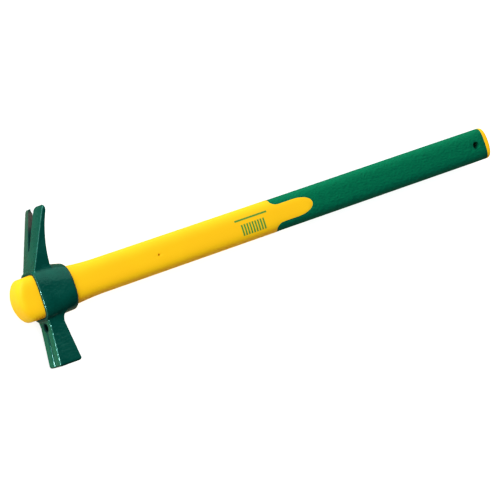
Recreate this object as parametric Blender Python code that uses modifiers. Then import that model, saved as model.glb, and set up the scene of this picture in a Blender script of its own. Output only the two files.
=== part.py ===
"""Carpenter's hammer with a claw, a magnetic nail starter and a moulded handle.

The hammer lies on its side: +X runs down the handle to the grip, +Y points to the
claw, +Z up. All stations along the handle are measured from the top face of the head.
Lengths are in metres.
"""

import math

import bmesh
import bpy
from mathutils import Matrix, Vector

# Handle: lengths along X
TOTAL_LENGTH = 0.5023
KNOB_HEIGHT = 0.0191
KNOB_DOME = 0.0104
SHOULDER_LENGTH = 0.03
GRIP_LENGTH = 0.2364
RIM_THICKNESS = 0.0048
RIM_EDGE_RADIUS = 0.0015
RIM_BOW = 0.0016

# Handle: breadth is measured along Y, in the plane of the swing, and thickness along Z
KNOB_BREADTH = 0.0375
KNOB_THICKNESS = 0.0228
SHOULDER_BREADTH = 0.034
SHOULDER_THICKNESS = 0.023
SHAFT_BREADTH = 0.0305
SHAFT_THICKNESS = 0.0212
WAIST_BREADTH = 0.0298
WAIST_THICKNESS = 0.0208
GRIP_BREADTH = 0.0293
GRIP_THICKNESS = 0.0204
BUTT_BREADTH = 0.029
BUTT_THICKNESS = 0.0197
KNOB_CORNER_Y = 0.0034
KNOB_CORNER_Z = 0.006
SHOULDER_CORNER_Y = 0.012
SHOULDER_CORNER_Z = 0.009
SHAFT_CORNER_Y = 0.0062
SHAFT_CORNER_Z = 0.0086

# Soft grip over the neck of the jacket, and the tongue that shows through its window
GRIP_WALL = 0.0018
GRIP_RAMP = 0.006
TONGUE_LENGTH = 0.0396
TONGUE_WIDTH = 0.016
TONGUE_TIP_LENGTH = 0.018
TONGUE_FLARE = 0.006
TONGUE_FLARE_TURN = math.radians(20)
HANG_HOLE_DIAMETER = 0.007
HANG_HOLE_INSET = 0.015

# Glass-fibre core, and the hole that a mould's locating pin leaves in the jacket
CORE_DIAMETER = 0.0115
CORE_CHAMFER = 0.0006
CORE_TOP_COVER = 0.006
CORE_END_COVER = 0.008
PIN_HOLE_DIAMETER = 0.0022
PIN_HOLE_STATION = 0.1196

# Head: eye and collar, along X from the top face
EYE_LENGTH = 0.0338
EYE_WALL_TOP = 0.0024
EYE_WALL_COLLAR = 0.0028
EYE_CORNER_Y = 0.0065
EYE_CORNER_Z = 0.006
COLLAR_CORNER_Y = 0.016
COLLAR_CORNER_Z = 0.011
EYE_CHEEK_BULGE = 0.0007
EYE_TOP_RADIUS = 0.0009
COLLAR_RADIUS = 0.0034

# Head: striking arm, along -Y
ARM_REACH = 0.0614
ARM_AXIS = 0.0084
ARM_NECK_DEPTH = 0.0144
ARM_NECK_THICKNESS = 0.0198
ARM_NECK_LENGTH = 0.0345
ARM_ROOT_FILLET = 0.0048
ARM_ROOT_SPREAD = 0.3
ARM_ROOT_LIFT = 0.12
FACE_DEPTH = 0.0216
FACE_THICKNESS = 0.0222
FACE_EDGE_RADIUS = 0.0019
ARM_EDGE = 0.0014

# Head: claw, along +Y
CLAW_REACH = 0.0717
CLAW_SLOPE = math.radians(25.6)
CLAW_ROOT_DEPTH = 0.0179
CLAW_ROOT_WIDTH = 0.0236
CLAW_TIP_WIDTH = 0.0344
CLAW_TIP_THICKNESS = 0.0046
CLAW_TIP_BEVEL = 0.0056
CLAW_TIP_BEVEL_BOW = 1.5
CLAW_TIP_EDGE = 0.0012
CLAW_CROWN = 0.0031
CLAW_CROWN_GROWTH = 0.7
CLAW_TIP_CROWN_LOSS = 0.5
CLAW_EDGE = 0.0011
CLAW_TIP_CORNER = 0.0028
CLAW_UNDER_FILLET = 0.0005
SLOT_LENGTH = 0.0332
SLOT_MOUTH = 0.0105
SLOT_ROOT = 0.0014
SLOT_LIP = 0.002
SLOT_LIP_SPREAD = 0.0025
SLOT_LAND = 0.0042
SLOT_BEVEL = math.radians(30)

# Head: how far the arm and the claw run on into the eye's wall
ROOT_SUNK = 0.004

# Head: nail starter in the top face of the striking arm
MAGNET_DIAMETER = 0.0058
MAGNET_THICKNESS = 0.003
MAGNET_CHAMFER = 0.0003
MAGNET_SUNK = 0.0008
MAGNET_OFFSET = 0.006
GROOVE_WIDTH = 0.0032
GROOVE_DEPTH = 0.0011
GROOVE_GAP = 0.0014

# Fit between pieces that touch, and how far a cutter runs past what it cuts
FIT_GAP = 0.0003
OVERRUN = 0.004

# Largest share of a section's half size that its corner takes up
CORNER_LIMIT = 0.97
CORNER_STEPS = 6
FLAT_STEPS = 4
FILLET_STEPS = 8
CROWN_STEPS = 3
DOME_STEPS = 11
DOME_CREST = math.radians(80)
RIM_FACTORS = (0.8, 0.55, 0.3)
ROUND_SEGMENTS = 32
SMOOTH_ANGLE = math.radians(32)

# Places along the handle that follow from the sizes above
HANDLE_START = -KNOB_HEIGHT
HANDLE_END = HANDLE_START + TOTAL_LENGTH
GRIP_END = HANDLE_END - RIM_THICKNESS
GRIP_START = GRIP_END - GRIP_LENGTH
SHAFT_START = EYE_LENGTH + SHOULDER_LENGTH
HANG_HOLE_STATION = HANDLE_END - HANG_HOLE_INSET
CORE_START = HANDLE_START + CORE_TOP_COVER
CORE_END = HANG_HOLE_STATION - HANG_HOLE_DIAMETER / 2 - CORE_END_COVER
ARM_NECK_STATION = ARM_REACH - ARM_NECK_LENGTH
MAGNET_STATION = KNOB_BREADTH / 2 + EYE_WALL_TOP + MAGNET_OFFSET


def clear_scene():
    """Remove everything the file holds."""
    for item in list(bpy.data.objects):
        bpy.data.objects.remove(item, do_unlink=True)


def make_collection(name):
    """Return a new collection linked to the scene."""
    group = bpy.data.collections.new(name)
    bpy.context.scene.collection.children.link(group)
    return group


def make_material(name, colour, roughness, metallic=0.0):
    """Return a Principled material."""
    material = bpy.data.materials.new(name)
    material.use_nodes = True
    shader = material.node_tree.nodes["Principled BSDF"]
    shader.inputs["Base Color"].default_value = (*colour, 1.0)
    shader.inputs["Roughness"].default_value = roughness
    shader.inputs["Metallic"].default_value = metallic
    material.diffuse_color = (*colour, 1.0)
    return material


def add_object(name, mesh, group, origin):
    """Link a mesh as an object of the group, carried by the origin empty."""
    item = bpy.data.objects.new(name, mesh)
    group.objects.link(item)
    item.parent = origin
    return item


def mesh_from(bm, name):
    """Turn a bmesh into a smooth-shaded mesh with its sharp edges marked."""
    bmesh.ops.recalc_face_normals(bm, faces=bm.faces)
    mesh = bpy.data.meshes.new(name)
    bm.to_mesh(mesh)
    bm.free()
    mesh.shade_smooth()
    mesh.set_sharp_from_angle(angle=SMOOTH_ANGLE)
    return mesh


def hide_cutter(item):
    """Show a cutter as wire and keep it out of the render."""
    item.display_type = "WIRE"
    item.hide_render = True
    return item


def boolean(item, other, operation):
    """Join or cut an object with another by a live exact Boolean."""
    step = item.modifiers.new(f"{operation.lower()}_{other.name}", "BOOLEAN")
    step.operation = operation
    step.solver = "EXACT"
    step.object = other


# Sections


class Section:
    """Rounded rectangle across the handle: half sizes along Y and Z, and corner radii."""

    def __init__(self, half_y, half_z, corner_y, corner_z):
        self.half_y = half_y
        self.half_z = half_z
        self.corner_y = min(corner_y, half_y * CORNER_LIMIT)
        self.corner_z = min(corner_z, half_z * CORNER_LIMIT)

    def offset(self, distance):
        """Return the section grown, or shrunk by a negative distance, on every side."""
        return Section(
            self.half_y + distance,
            self.half_z + distance,
            max(self.corner_y + distance, FIT_GAP),
            max(self.corner_z + distance, FIT_GAP),
        )

    def scaled(self, factor):
        """Return the section scaled about its centre."""
        return Section(
            self.half_y * factor,
            self.half_z * factor,
            self.corner_y * factor,
            self.corner_z * factor,
        )

    def blend(self, other, share):
        """Return the section that lies the given share of the way to another one."""
        mixed = [
            a + (b - a) * share
            for a, b in (
                (self.half_y, other.half_y),
                (self.half_z, other.half_z),
                (self.corner_y, other.corner_y),
                (self.corner_z, other.corner_z),
            )
        ]
        return Section(*mixed)

    def ring(self, x, bulge=0.0, bow=0.0):
        """Return the points of the section at a station.

        The cheeks may bulge along Z, and the two narrow sides may lie back by a bow along X.
        """
        quarter = []
        flat_y = self.half_y - self.corner_y
        flat_z = self.half_z - self.corner_z
        for step in range(FLAT_STEPS):
            quarter.append((flat_y * step / FLAT_STEPS, self.half_z))
        for step in range(CORNER_STEPS + 1):
            turn = math.pi / 2 * step / CORNER_STEPS
            quarter.append(
                (
                    flat_y + self.corner_y * math.sin(turn),
                    flat_z + self.corner_z * math.cos(turn),
                )
            )
        right = quarter + [(y, -z) for y, z in reversed(quarter)]
        left = [(-y, z) for y, z in reversed(right[1:-1])]
        outline = right + left
        points = []
        for y, z in outline:
            share = (y / self.half_y) ** 2
            points.append(Vector((x - bow * share, y, z + math.copysign(bulge * (1 - share), z))))
        return points


KNOB_SECTION = Section(KNOB_BREADTH / 2, KNOB_THICKNESS / 2, KNOB_CORNER_Y, KNOB_CORNER_Z)
SHOULDER_SECTION = Section(
    SHOULDER_BREADTH / 2, SHOULDER_THICKNESS / 2, SHOULDER_CORNER_Y, SHOULDER_CORNER_Z
)
SHAFT_SECTION = Section(SHAFT_BREADTH / 2, SHAFT_THICKNESS / 2, SHAFT_CORNER_Y, SHAFT_CORNER_Z)
WAIST_SECTION = Section(WAIST_BREADTH / 2, WAIST_THICKNESS / 2, SHAFT_CORNER_Y, SHAFT_CORNER_Z)
GRIP_SECTION = Section(GRIP_BREADTH / 2, GRIP_THICKNESS / 2, SHAFT_CORNER_Y, SHAFT_CORNER_Z)
BUTT_SECTION = Section(BUTT_BREADTH / 2, BUTT_THICKNESS / 2, SHAFT_CORNER_Y, SHAFT_CORNER_Z)


def handle_section(x):
    """Return the handle's outer section at a station below the knob's dome."""
    if x <= 0.0:
        return KNOB_SECTION
    if x <= EYE_LENGTH:
        return KNOB_SECTION.blend(SHOULDER_SECTION, x / EYE_LENGTH)
    if x <= SHAFT_START:
        share = (x - EYE_LENGTH) / SHOULDER_LENGTH
        return SHOULDER_SECTION.blend(SHAFT_SECTION, math.sin(share * math.pi / 2))
    if x <= GRIP_START:
        share = (x - SHAFT_START) / (GRIP_START - SHAFT_START)
        return SHAFT_SECTION.blend(WAIST_SECTION, share)
    if x <= GRIP_START + GRIP_RAMP:
        return WAIST_SECTION.blend(GRIP_SECTION, (x - GRIP_START) / GRIP_RAMP)
    share = (x - GRIP_START - GRIP_RAMP) / (GRIP_END - GRIP_START - GRIP_RAMP)
    return GRIP_SECTION.blend(BUTT_SECTION, min(share, 1.0))


def dome_section(turn):
    """Return the section of the knob's dome, from its foot at 0 to its crest at pi / 2.

    The dome is an ellipse along the breadth and squarer across the thickness, and its
    corners open out towards the crest.
    """
    rise = math.sin(turn)
    half_y = KNOB_BREADTH / 2 * math.cos(turn)
    half_z = KNOB_THICKNESS / 2 * (1 - rise**4) ** 0.25
    return Section(
        half_y,
        half_z,
        KNOB_CORNER_Y + (half_y - KNOB_CORNER_Y) * rise,
        KNOB_CORNER_Z + (half_z - KNOB_CORNER_Z) * rise,
    )


def spread(start, end, count):
    """Return evenly spaced stations from start to end, both included."""
    return [start + (end - start) * step / (count - 1) for step in range(count)]


def round_over(radius, steps=3):
    """Yield the depth and inset of each ring of a rounded end, from the end inwards."""
    for step in range(steps + 1):
        turn = math.pi / 2 * step / steps
        yield radius * (1 - math.cos(turn)), radius * (1 - math.sin(turn))


def loft(name, rings):
    """Skin a list of rings of equal count and close both ends."""
    bm = bmesh.new()
    loops = [[bm.verts.new(point) for point in ring] for ring in rings]
    for first, second in zip(loops, loops[1:]):
        for here in range(len(first)):
            after = (here + 1) % len(first)
            bm.faces.new((first[here], first[after], second[after], second[here]))
    bm.faces.new(loops[0])
    bm.faces.new(loops[-1])
    return mesh_from(bm, name)


def prism(name, outline, start, end):
    """Extrude a flat outline in X and Y between two heights."""
    bm = bmesh.new()
    face = bm.faces.new([bm.verts.new((x, y, start)) for x, y in outline])
    made = bmesh.ops.extrude_face_region(bm, geom=[face])
    moved = [part for part in made["geom"] if isinstance(part, bmesh.types.BMVert)]
    bmesh.ops.translate(bm, verts=moved, vec=Vector((0.0, 0.0, end - start)))
    return mesh_from(bm, name)


def cylinder(name, diameter, start, end):
    """Make a closed cylinder between two points."""
    bm = bmesh.new()
    span = end - start
    turn = Vector((0.0, 0.0, 1.0)).rotation_difference(span.normalized()).to_matrix().to_4x4()
    place = Matrix.Translation((start + end) / 2) @ turn
    bmesh.ops.create_cone(
        bm,
        cap_ends=True,
        segments=ROUND_SEGMENTS,
        radius1=diameter / 2,
        radius2=diameter / 2,
        depth=span.length,
        matrix=place,
    )
    return mesh_from(bm, name)


def turned(name, profile, group, origin):
    """Turn a profile of radius and height pairs, listed from top to bottom, about Z."""
    mesh = bpy.data.meshes.new(name)
    points = [(radius, 0.0, height) for radius, height in profile]
    mesh.from_pydata(points, [(i, i + 1) for i in range(len(points) - 1)], [])
    item = add_object(name, mesh, group, origin)
    screw = item.modifiers.new("turn", "SCREW")
    screw.axis = "Z"
    screw.steps = ROUND_SEGMENTS
    screw.render_steps = ROUND_SEGMENTS
    screw.use_merge_vertices = True
    screw.merge_threshold = 0.00001
    screw.use_smooth_shade = True
    return item


# Handle


def jacket_outer():
    """Skin the jacket from the domed knob to the rim at the butt."""
    rings = []
    for turn in spread(DOME_CREST, 0.0, DOME_STEPS):
        drop = KNOB_DOME * (1 - math.sin(turn) / math.sin(DOME_CREST))
        rings.append(dome_section(turn).ring(HANDLE_START + drop))
    stations = spread(0.0, EYE_LENGTH, 4)
    stations += spread(EYE_LENGTH, SHAFT_START, 9)[1:]
    stations += spread(SHAFT_START, GRIP_START, 5)[1:]
    stations += spread(GRIP_START, GRIP_START + GRIP_RAMP, 3)[1:]
    stations += spread(GRIP_START + GRIP_RAMP, GRIP_END, 5)[1:]
    rings += [handle_section(x).ring(x) for x in stations]
    for depth, inset in reversed(list(round_over(RIM_EDGE_RADIUS))):
        rings.append(BUTT_SECTION.offset(-inset).ring(HANDLE_END - depth, bow=RIM_BOW))
    flat = RIM_FACTORS[-1]
    for factor in RIM_FACTORS:
        bow = RIM_BOW * (factor**2 - flat**2) / (1 - flat**2)
        drawn_in = BUTT_SECTION.offset(-RIM_EDGE_RADIUS).scaled(factor)
        rings.append(drawn_in.ring(HANDLE_END, bow=bow))
    return loft("jacket_outer", rings)


def under_grip(distance, start, end):
    """Skin the handle's section, offset by a distance, over the stretch of the grip."""
    stations = [start]
    stations += spread(GRIP_START, GRIP_START + GRIP_RAMP, 3)
    stations += spread(GRIP_START + GRIP_RAMP, GRIP_END, 5)[1:]
    stations.append(end)
    return loft("under_grip", [handle_section(x).offset(distance).ring(x) for x in stations])


def tongue_outline(margin):
    """Return the tongue's outline in X and Y, grown by a margin, open towards the head."""
    half = TONGUE_WIDTH / 2 + margin
    tip_start = GRIP_START + TONGUE_LENGTH - TONGUE_TIP_LENGTH
    tip = TONGUE_TIP_LENGTH + margin
    shoulder = half + TONGUE_FLARE * (1 - math.sin(TONGUE_FLARE_TURN))
    upper = [(GRIP_START - OVERRUN, shoulder), (GRIP_START, shoulder)]
    for step in range(1, FILLET_STEPS + 1):
        turn = TONGUE_FLARE_TURN + (math.pi / 2 - TONGUE_FLARE_TURN) * step / FILLET_STEPS
        upper.append(
            (
                GRIP_START + TONGUE_FLARE * (math.cos(TONGUE_FLARE_TURN) - math.cos(turn)),
                half + TONGUE_FLARE * (1 - math.sin(turn)),
            )
        )
    for step in range(FILLET_STEPS + 1):
        turn = math.pi / 2 * step / FILLET_STEPS
        upper.append((tip_start + tip * math.sin(turn), half * math.cos(turn)))
    lower = [(x, -y) for x, y in reversed(upper[:-1])]
    return upper + lower


def make_jacket(group, cutters, origin):
    """Build the hard jacket: knob, shaft, neck under the grip, tongues and rim."""
    jacket = add_object("handle_jacket", jacket_outer(), group, origin)
    reach = KNOB_BREADTH
    block = [(GRIP_START, -reach), (GRIP_END, -reach), (GRIP_END, reach), (GRIP_START, reach)]
    pocket = add_object("grip_pocket", prism("pocket", block, -reach, reach), cutters, origin)
    neck = add_object(
        "neck_core",
        under_grip(-GRIP_WALL - FIT_GAP, GRIP_START - OVERRUN, GRIP_END + OVERRUN),
        cutters,
        origin,
    )
    tongue = add_object(
        "tongue_core",
        prism("tongue", tongue_outline(0.0), -reach - OVERRUN, reach + OVERRUN),
        cutters,
        origin,
    )
    boolean(pocket, neck, "DIFFERENCE")
    boolean(pocket, tongue, "DIFFERENCE")
    bore = cylinder(
        "core_bore",
        CORE_DIAMETER + 2 * FIT_GAP,
        Vector((CORE_START - FIT_GAP, 0.0, 0.0)),
        Vector((CORE_END + FIT_GAP, 0.0, 0.0)),
    )
    pin = cylinder(
        "pin_hole",
        PIN_HOLE_DIAMETER,
        Vector((PIN_HOLE_STATION, 0.0, 0.0)),
        Vector((PIN_HOLE_STATION, 0.0, SHAFT_THICKNESS / 2 + OVERRUN)),
    )
    boolean(jacket, pocket, "DIFFERENCE")
    for mesh in (bore, pin):
        cutter = add_object(mesh.name, mesh, cutters, origin)
        boolean(jacket, hide_cutter(cutter), "DIFFERENCE")
    for cutter in (pocket, neck, tongue):
        hide_cutter(cutter)
    return jacket


def make_grip(group, cutters, origin):
    """Build the soft sleeve with a window for each tongue."""
    start = GRIP_START + FIT_GAP
    end = GRIP_END - FIT_GAP
    stations = [start]
    stations += spread(GRIP_START, GRIP_START + GRIP_RAMP, 3)[1:]
    stations += spread(GRIP_START + GRIP_RAMP, end, 5)[1:]
    outer = loft("grip_outer", [handle_section(x).ring(x) for x in stations])
    grip = add_object("soft_grip", outer, group, origin)
    reach = KNOB_BREADTH
    hollow = under_grip(-GRIP_WALL, GRIP_START - OVERRUN, GRIP_END + OVERRUN)
    window = prism("tongue_window", tongue_outline(FIT_GAP), -reach, reach)
    for name, mesh in (("grip_hollow", hollow), ("tongue_window", window)):
        cutter = add_object(name, mesh, cutters, origin)
        boolean(grip, hide_cutter(cutter), "DIFFERENCE")
    return grip


def cut_hang_hole(pieces, cutters, origin):
    """Cut the hang hole through the jacket and the grip."""
    reach = Vector((0.0, 0.0, BUTT_THICKNESS / 2 + OVERRUN))
    centre = Vector((HANG_HOLE_STATION, 0.0, 0.0))
    mesh = cylinder("hang_hole", HANG_HOLE_DIAMETER, centre - reach, centre + reach)
    cutter = hide_cutter(add_object("hang_hole", mesh, cutters, origin))
    for piece in pieces:
        boolean(piece, cutter, "DIFFERENCE")


def make_core(group, origin):
    """Turn the glass-fibre core rod, chamfered at both ends."""
    radius = CORE_DIAMETER / 2
    half = (CORE_END - CORE_START) / 2
    profile = [
        (0.0, half),
        (radius - CORE_CHAMFER, half),
        (radius, half - CORE_CHAMFER),
        (radius, CORE_CHAMFER - half),
        (radius - CORE_CHAMFER, -half),
        (0.0, -half),
    ]
    core = turned("core_rod", profile, group, origin)
    core.location = ((CORE_START + CORE_END) / 2, 0.0, 0.0)
    core.rotation_euler = (0.0, math.pi / 2, 0.0)
    return core


# Head


def eye_section(x):
    """Return the outside of the eye at a station, a wall away from its pocket."""
    share = min(max(x / EYE_LENGTH, 0.0), 1.0)
    inner = handle_section(x).offset(FIT_GAP)
    wall = EYE_WALL_TOP + (EYE_WALL_COLLAR - EYE_WALL_TOP) * share
    return Section(
        inner.half_y + wall,
        inner.half_z + wall,
        EYE_CORNER_Y + (COLLAR_CORNER_Y - EYE_CORNER_Y) * share,
        EYE_CORNER_Z + (COLLAR_CORNER_Z - EYE_CORNER_Z) * share,
    )


def eye_body():
    """Skin the eye and its collar from the top face to the collar's end."""
    rings = []
    for depth, inset in round_over(EYE_TOP_RADIUS, 2):
        rings.append(eye_section(depth).offset(-inset).ring(depth, EYE_CHEEK_BULGE))
    for x in spread(EYE_TOP_RADIUS, EYE_LENGTH - COLLAR_RADIUS, 5)[1:-1]:
        rings.append(eye_section(x).ring(x, EYE_CHEEK_BULGE))
    for depth, inset in reversed(list(round_over(COLLAR_RADIUS))):
        x = EYE_LENGTH - depth
        rings.append(eye_section(x).offset(-inset).ring(x, EYE_CHEEK_BULGE))
    return loft("eye_body", rings)


def bar_ring(y, top, bottom, half, edge, crown=0.0, hollow=0.0):
    """Return a ring across the arm or the claw: a box with rounded edges.

    The top may rise by a crown at its middle, and the underside by a hollow.
    """
    edge = min(edge, half / 2, (bottom - top) / 2.2)
    side = [(across, top) for across in spread(0.0, half - edge, CROWN_STEPS + 1)[1:-1]]
    for step in range(3):
        turn = math.pi / 4 * step
        across = half - edge + edge * math.sin(turn)
        side.append((across, top + edge * (1 - math.cos(turn))))
    under = []
    for step in range(3):
        turn = math.pi / 4 * step
        across = half - edge + edge * math.cos(turn)
        under.append((across, bottom - edge * (1 - math.sin(turn))))
    under += [(across, bottom) for across in spread(half - edge, 0.0, CROWN_STEPS + 1)[1:-1]]
    side = [(across, x - crown * (1 - (across / half) ** 2)) for across, x in side]
    side += [(across, x - hollow * (1 - (across / half) ** 2)) for across, x in under]
    outline = [(0.0, top - crown)] + side + [(0.0, bottom - hollow)]
    outline += [(-across, x) for across, x in reversed(side)]
    return [Vector((x, y, across)) for across, x in outline]


def fillet(distance, radius):
    """Return how far a fillet of the given radius still stands off at a distance."""
    reach = min(max(radius - distance, 0.0), radius)
    return radius - math.sqrt(radius**2 - reach**2)


def sunk_ring(ring, y):
    """Return a copy of a bar's last ring, moved to a place inside the eye's wall."""
    return [Vector((point.x, y, point.z)) for point in ring]


def arm_ring(reach):
    """Return a ring across the striking arm at a reach from the handle's axis."""
    share = (reach - ARM_NECK_STATION) / ARM_NECK_LENGTH
    depth = ARM_NECK_DEPTH + (FACE_DEPTH - ARM_NECK_DEPTH) * share
    thickness = ARM_NECK_THICKNESS + (FACE_THICKNESS - ARM_NECK_THICKNESS) * share
    return ARM_AXIS - depth / 2, ARM_AXIS + depth / 2, thickness / 2


def arm_rings():
    """Return the rings of the striking arm, from its face to the root at the eye."""
    rings = []
    for depth, inset in round_over(FACE_EDGE_RADIUS):
        top, bottom, half = arm_ring(ARM_REACH - depth)
        rings.append(
            bar_ring(depth - ARM_REACH, top + inset, bottom - inset, half - inset, ARM_EDGE)
        )
    for reach in spread(ARM_REACH - FACE_EDGE_RADIUS, ARM_NECK_STATION, 5)[1:]:
        top, bottom, half = arm_ring(reach)
        rings.append(bar_ring(-reach, top, bottom, half, ARM_EDGE))
    root = KNOB_BREADTH / 2 + FIT_GAP
    top, bottom, half = arm_ring(ARM_NECK_STATION)
    for share in (0.9, 0.6, 0.35, 0.18, 0.05, 0.0):
        stand = fillet(ARM_ROOT_FILLET * share, ARM_ROOT_FILLET)
        reach = root + (ARM_NECK_STATION - root) * share
        rings.append(
            bar_ring(
                -reach,
                top - stand * ARM_ROOT_LIFT,
                bottom + stand,
                half + stand * ARM_ROOT_SPREAD,
                ARM_EDGE,
            )
        )
    rings.append(sunk_ring(rings[-1], ROOT_SUNK - root))
    return rings


def claw_top(y):
    """Return where the edge of the claw's top face lies at a reach along Y."""
    return (y - KNOB_BREADTH / 2 + EYE_WALL_TOP) * math.tan(CLAW_SLOPE)


def claw_under(y):
    """Return where the claw's underside lies, a parabola that runs out along the tip."""
    start = KNOB_BREADTH / 2 + EYE_WALL_COLLAR + CLAW_UNDER_FILLET
    end = CLAW_REACH - CLAW_TIP_BEVEL
    share = max((y - start) / (end - start), 0.0)
    tip = claw_top(end) + CLAW_TIP_THICKNESS
    return CLAW_ROOT_DEPTH + (tip - CLAW_ROOT_DEPTH) * share**2


def claw_rings():
    """Return the rings of the claw, from the root at the eye to its rounded tip."""
    root = KNOB_BREADTH / 2 + FIT_GAP
    free = root + EYE_WALL_TOP
    bevel_start = CLAW_REACH - CLAW_TIP_BEVEL
    corner_start = CLAW_REACH - CLAW_TIP_CORNER
    stations = spread(root, free, 3) + spread(free, bevel_start, 10)[1:]
    stations += spread(bevel_start, corner_start, 4)[1:]
    corner = [CLAW_REACH - depth for depth, _ in round_over(CLAW_TIP_CORNER, 5)]
    stations += corner[-2::-1]
    rings = []
    for y in stations:
        share = min(max((y - free) / (corner_start - free), 0.0), 1.0)
        half = (CLAW_ROOT_WIDTH + (CLAW_TIP_WIDTH - CLAW_ROOT_WIDTH) * share) / 2
        half -= fillet(CLAW_REACH - y, CLAW_TIP_CORNER)
        nose = 1 - (max(y - bevel_start, 0.0) / CLAW_TIP_BEVEL) ** CLAW_TIP_BEVEL_BOW
        crown = CLAW_CROWN * share**CLAW_CROWN_GROWTH
        crown *= 1 - CLAW_TIP_CROWN_LOSS * (max(y - corner_start, 0.0) / CLAW_TIP_CORNER) ** 2
        under = claw_under(min(y, bevel_start)) + max(y - bevel_start, 0.0) * math.tan(CLAW_SLOPE)
        under += fillet(y - free, CLAW_UNDER_FILLET)
        under -= (CLAW_TIP_THICKNESS - CLAW_TIP_EDGE) * (1 - nose)
        rings.append(bar_ring(y, claw_top(y), under, half, CLAW_EDGE, crown, crown * share))
    rings.insert(0, sunk_ring(rings[0], root - ROOT_SUNK))
    return rings


def slot_outline(margin):
    """Return the nail slot's outline in Y and Z: a V with a round root and rounded lips."""
    root = CLAW_REACH - SLOT_LENGTH
    half_root = SLOT_ROOT / 2
    side = []
    for y in spread(CLAW_REACH - SLOT_LIP, CLAW_REACH, FILLET_STEPS + 1):
        vee = half_root + (SLOT_MOUTH / 2 - half_root) * (y - root) / SLOT_LENGTH
        lip = fillet(CLAW_REACH - y, SLOT_LIP) * SLOT_LIP_SPREAD / SLOT_LIP
        side.append((y, vee + lip + margin))
    side.append((CLAW_REACH + OVERRUN, side[-1][1]))
    outline = [(y, -across) for y, across in side]
    outline += reversed(side)
    for step in range(FILLET_STEPS + 1):
        turn = math.pi * step / FILLET_STEPS
        across = (half_root + margin) * math.cos(turn)
        outline.append((root - (half_root + margin) * math.sin(turn), across))
    return outline


def slot_cutter():
    """Skin the cutter of the nail slot: straight for its land, then open to the underside."""
    rings = [[Vector((-OVERRUN, y, across)) for y, across in slot_outline(0.0)]]
    for level in (0.0, CLAW_ROOT_DEPTH):
        outline = slot_outline(level * math.tan(SLOT_BEVEL))
        land = SLOT_LAND + level
        rings.append([Vector((claw_top(y) + land, y, across)) for y, across in outline])
    return loft("nail_slot", rings)


def make_head(group, cutters, origin):
    """Build the forged head: arm, claw, eye and collar, with their cuts."""
    head = add_object("hammer_head", eye_body(), group, origin)
    for name, rings in (("arm_bar", arm_rings()), ("claw_bar", claw_rings())):
        bar = add_object(name, loft(name, rings), cutters, origin)
        boolean(head, hide_cutter(bar), "UNION")
    stations = [-OVERRUN, *spread(0.0, EYE_LENGTH, 4), EYE_LENGTH + OVERRUN]
    pocket = loft("eye_pocket", [pocket_section(x).ring(x) for x in stations])
    recess_floor = Vector((magnet_top() + MAGNET_THICKNESS + FIT_GAP, -MAGNET_STATION, 0.0))
    recess = cylinder(
        "magnet_recess",
        MAGNET_DIAMETER + 2 * FIT_GAP,
        recess_floor,
        Vector((-OVERRUN, -MAGNET_STATION, 0.0)),
    )
    for mesh in (pocket, slot_cutter(), recess, groove_cutter()):
        cutter = add_object(mesh.name, mesh, cutters, origin)
        boolean(head, hide_cutter(cutter), "DIFFERENCE")
    return head


def pocket_section(x):
    """Return the eye's pocket at a station: the handle's section and the fit gap."""
    return handle_section(min(x, EYE_LENGTH)).offset(FIT_GAP)


def magnet_top():
    """Return where the magnet's outer face lies, sunk below the arm's top face."""
    top, _, _ = arm_ring(MAGNET_STATION)
    return top + MAGNET_SUNK


def groove_cutter():
    """Make the round-bottomed bar that cuts the nail groove in the arm's top face."""
    radius = (GROOVE_WIDTH**2 / 4 + GROOVE_DEPTH**2) / (2 * GROOVE_DEPTH)
    start_reach = MAGNET_STATION + MAGNET_DIAMETER / 2 + GROOVE_GAP
    end_reach = ARM_REACH + OVERRUN
    start_top, _, _ = arm_ring(start_reach)
    end_top, _, _ = arm_ring(end_reach)
    lift = GROOVE_DEPTH - radius
    return cylinder(
        "nail_groove",
        2 * radius,
        Vector((start_top + lift, -start_reach, 0.0)),
        Vector((end_top + lift, -end_reach, 0.0)),
    )


def make_magnet(group, origin):
    """Turn the nail magnet, a chamfered disc in the arm's recess."""
    radius = MAGNET_DIAMETER / 2
    profile = [
        (0.0, MAGNET_THICKNESS),
        (radius - MAGNET_CHAMFER, MAGNET_THICKNESS),
        (radius, MAGNET_THICKNESS - MAGNET_CHAMFER),
        (radius, MAGNET_CHAMFER),
        (radius - MAGNET_CHAMFER, 0.0),
        (0.0, 0.0),
    ]
    magnet = turned("nail_magnet", profile, group, origin)
    magnet.location = (magnet_top() + MAGNET_THICKNESS, -MAGNET_STATION, 0.0)
    magnet.rotation_euler = (0.0, -math.pi / 2, 0.0)
    return magnet


def make_origin(group):
    """Add the empty that sets the frame: under the middle of the hammer's box."""
    origin = bpy.data.objects.new("hammer_origin", None)
    group.objects.link(origin)
    half_height = max(CLAW_TIP_WIDTH, KNOB_THICKNESS, FACE_THICKNESS) / 2
    origin.location = (
        -(HANDLE_START + HANDLE_END) / 2,
        -(CLAW_REACH - ARM_REACH) / 2,
        half_height,
    )
    return origin


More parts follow.
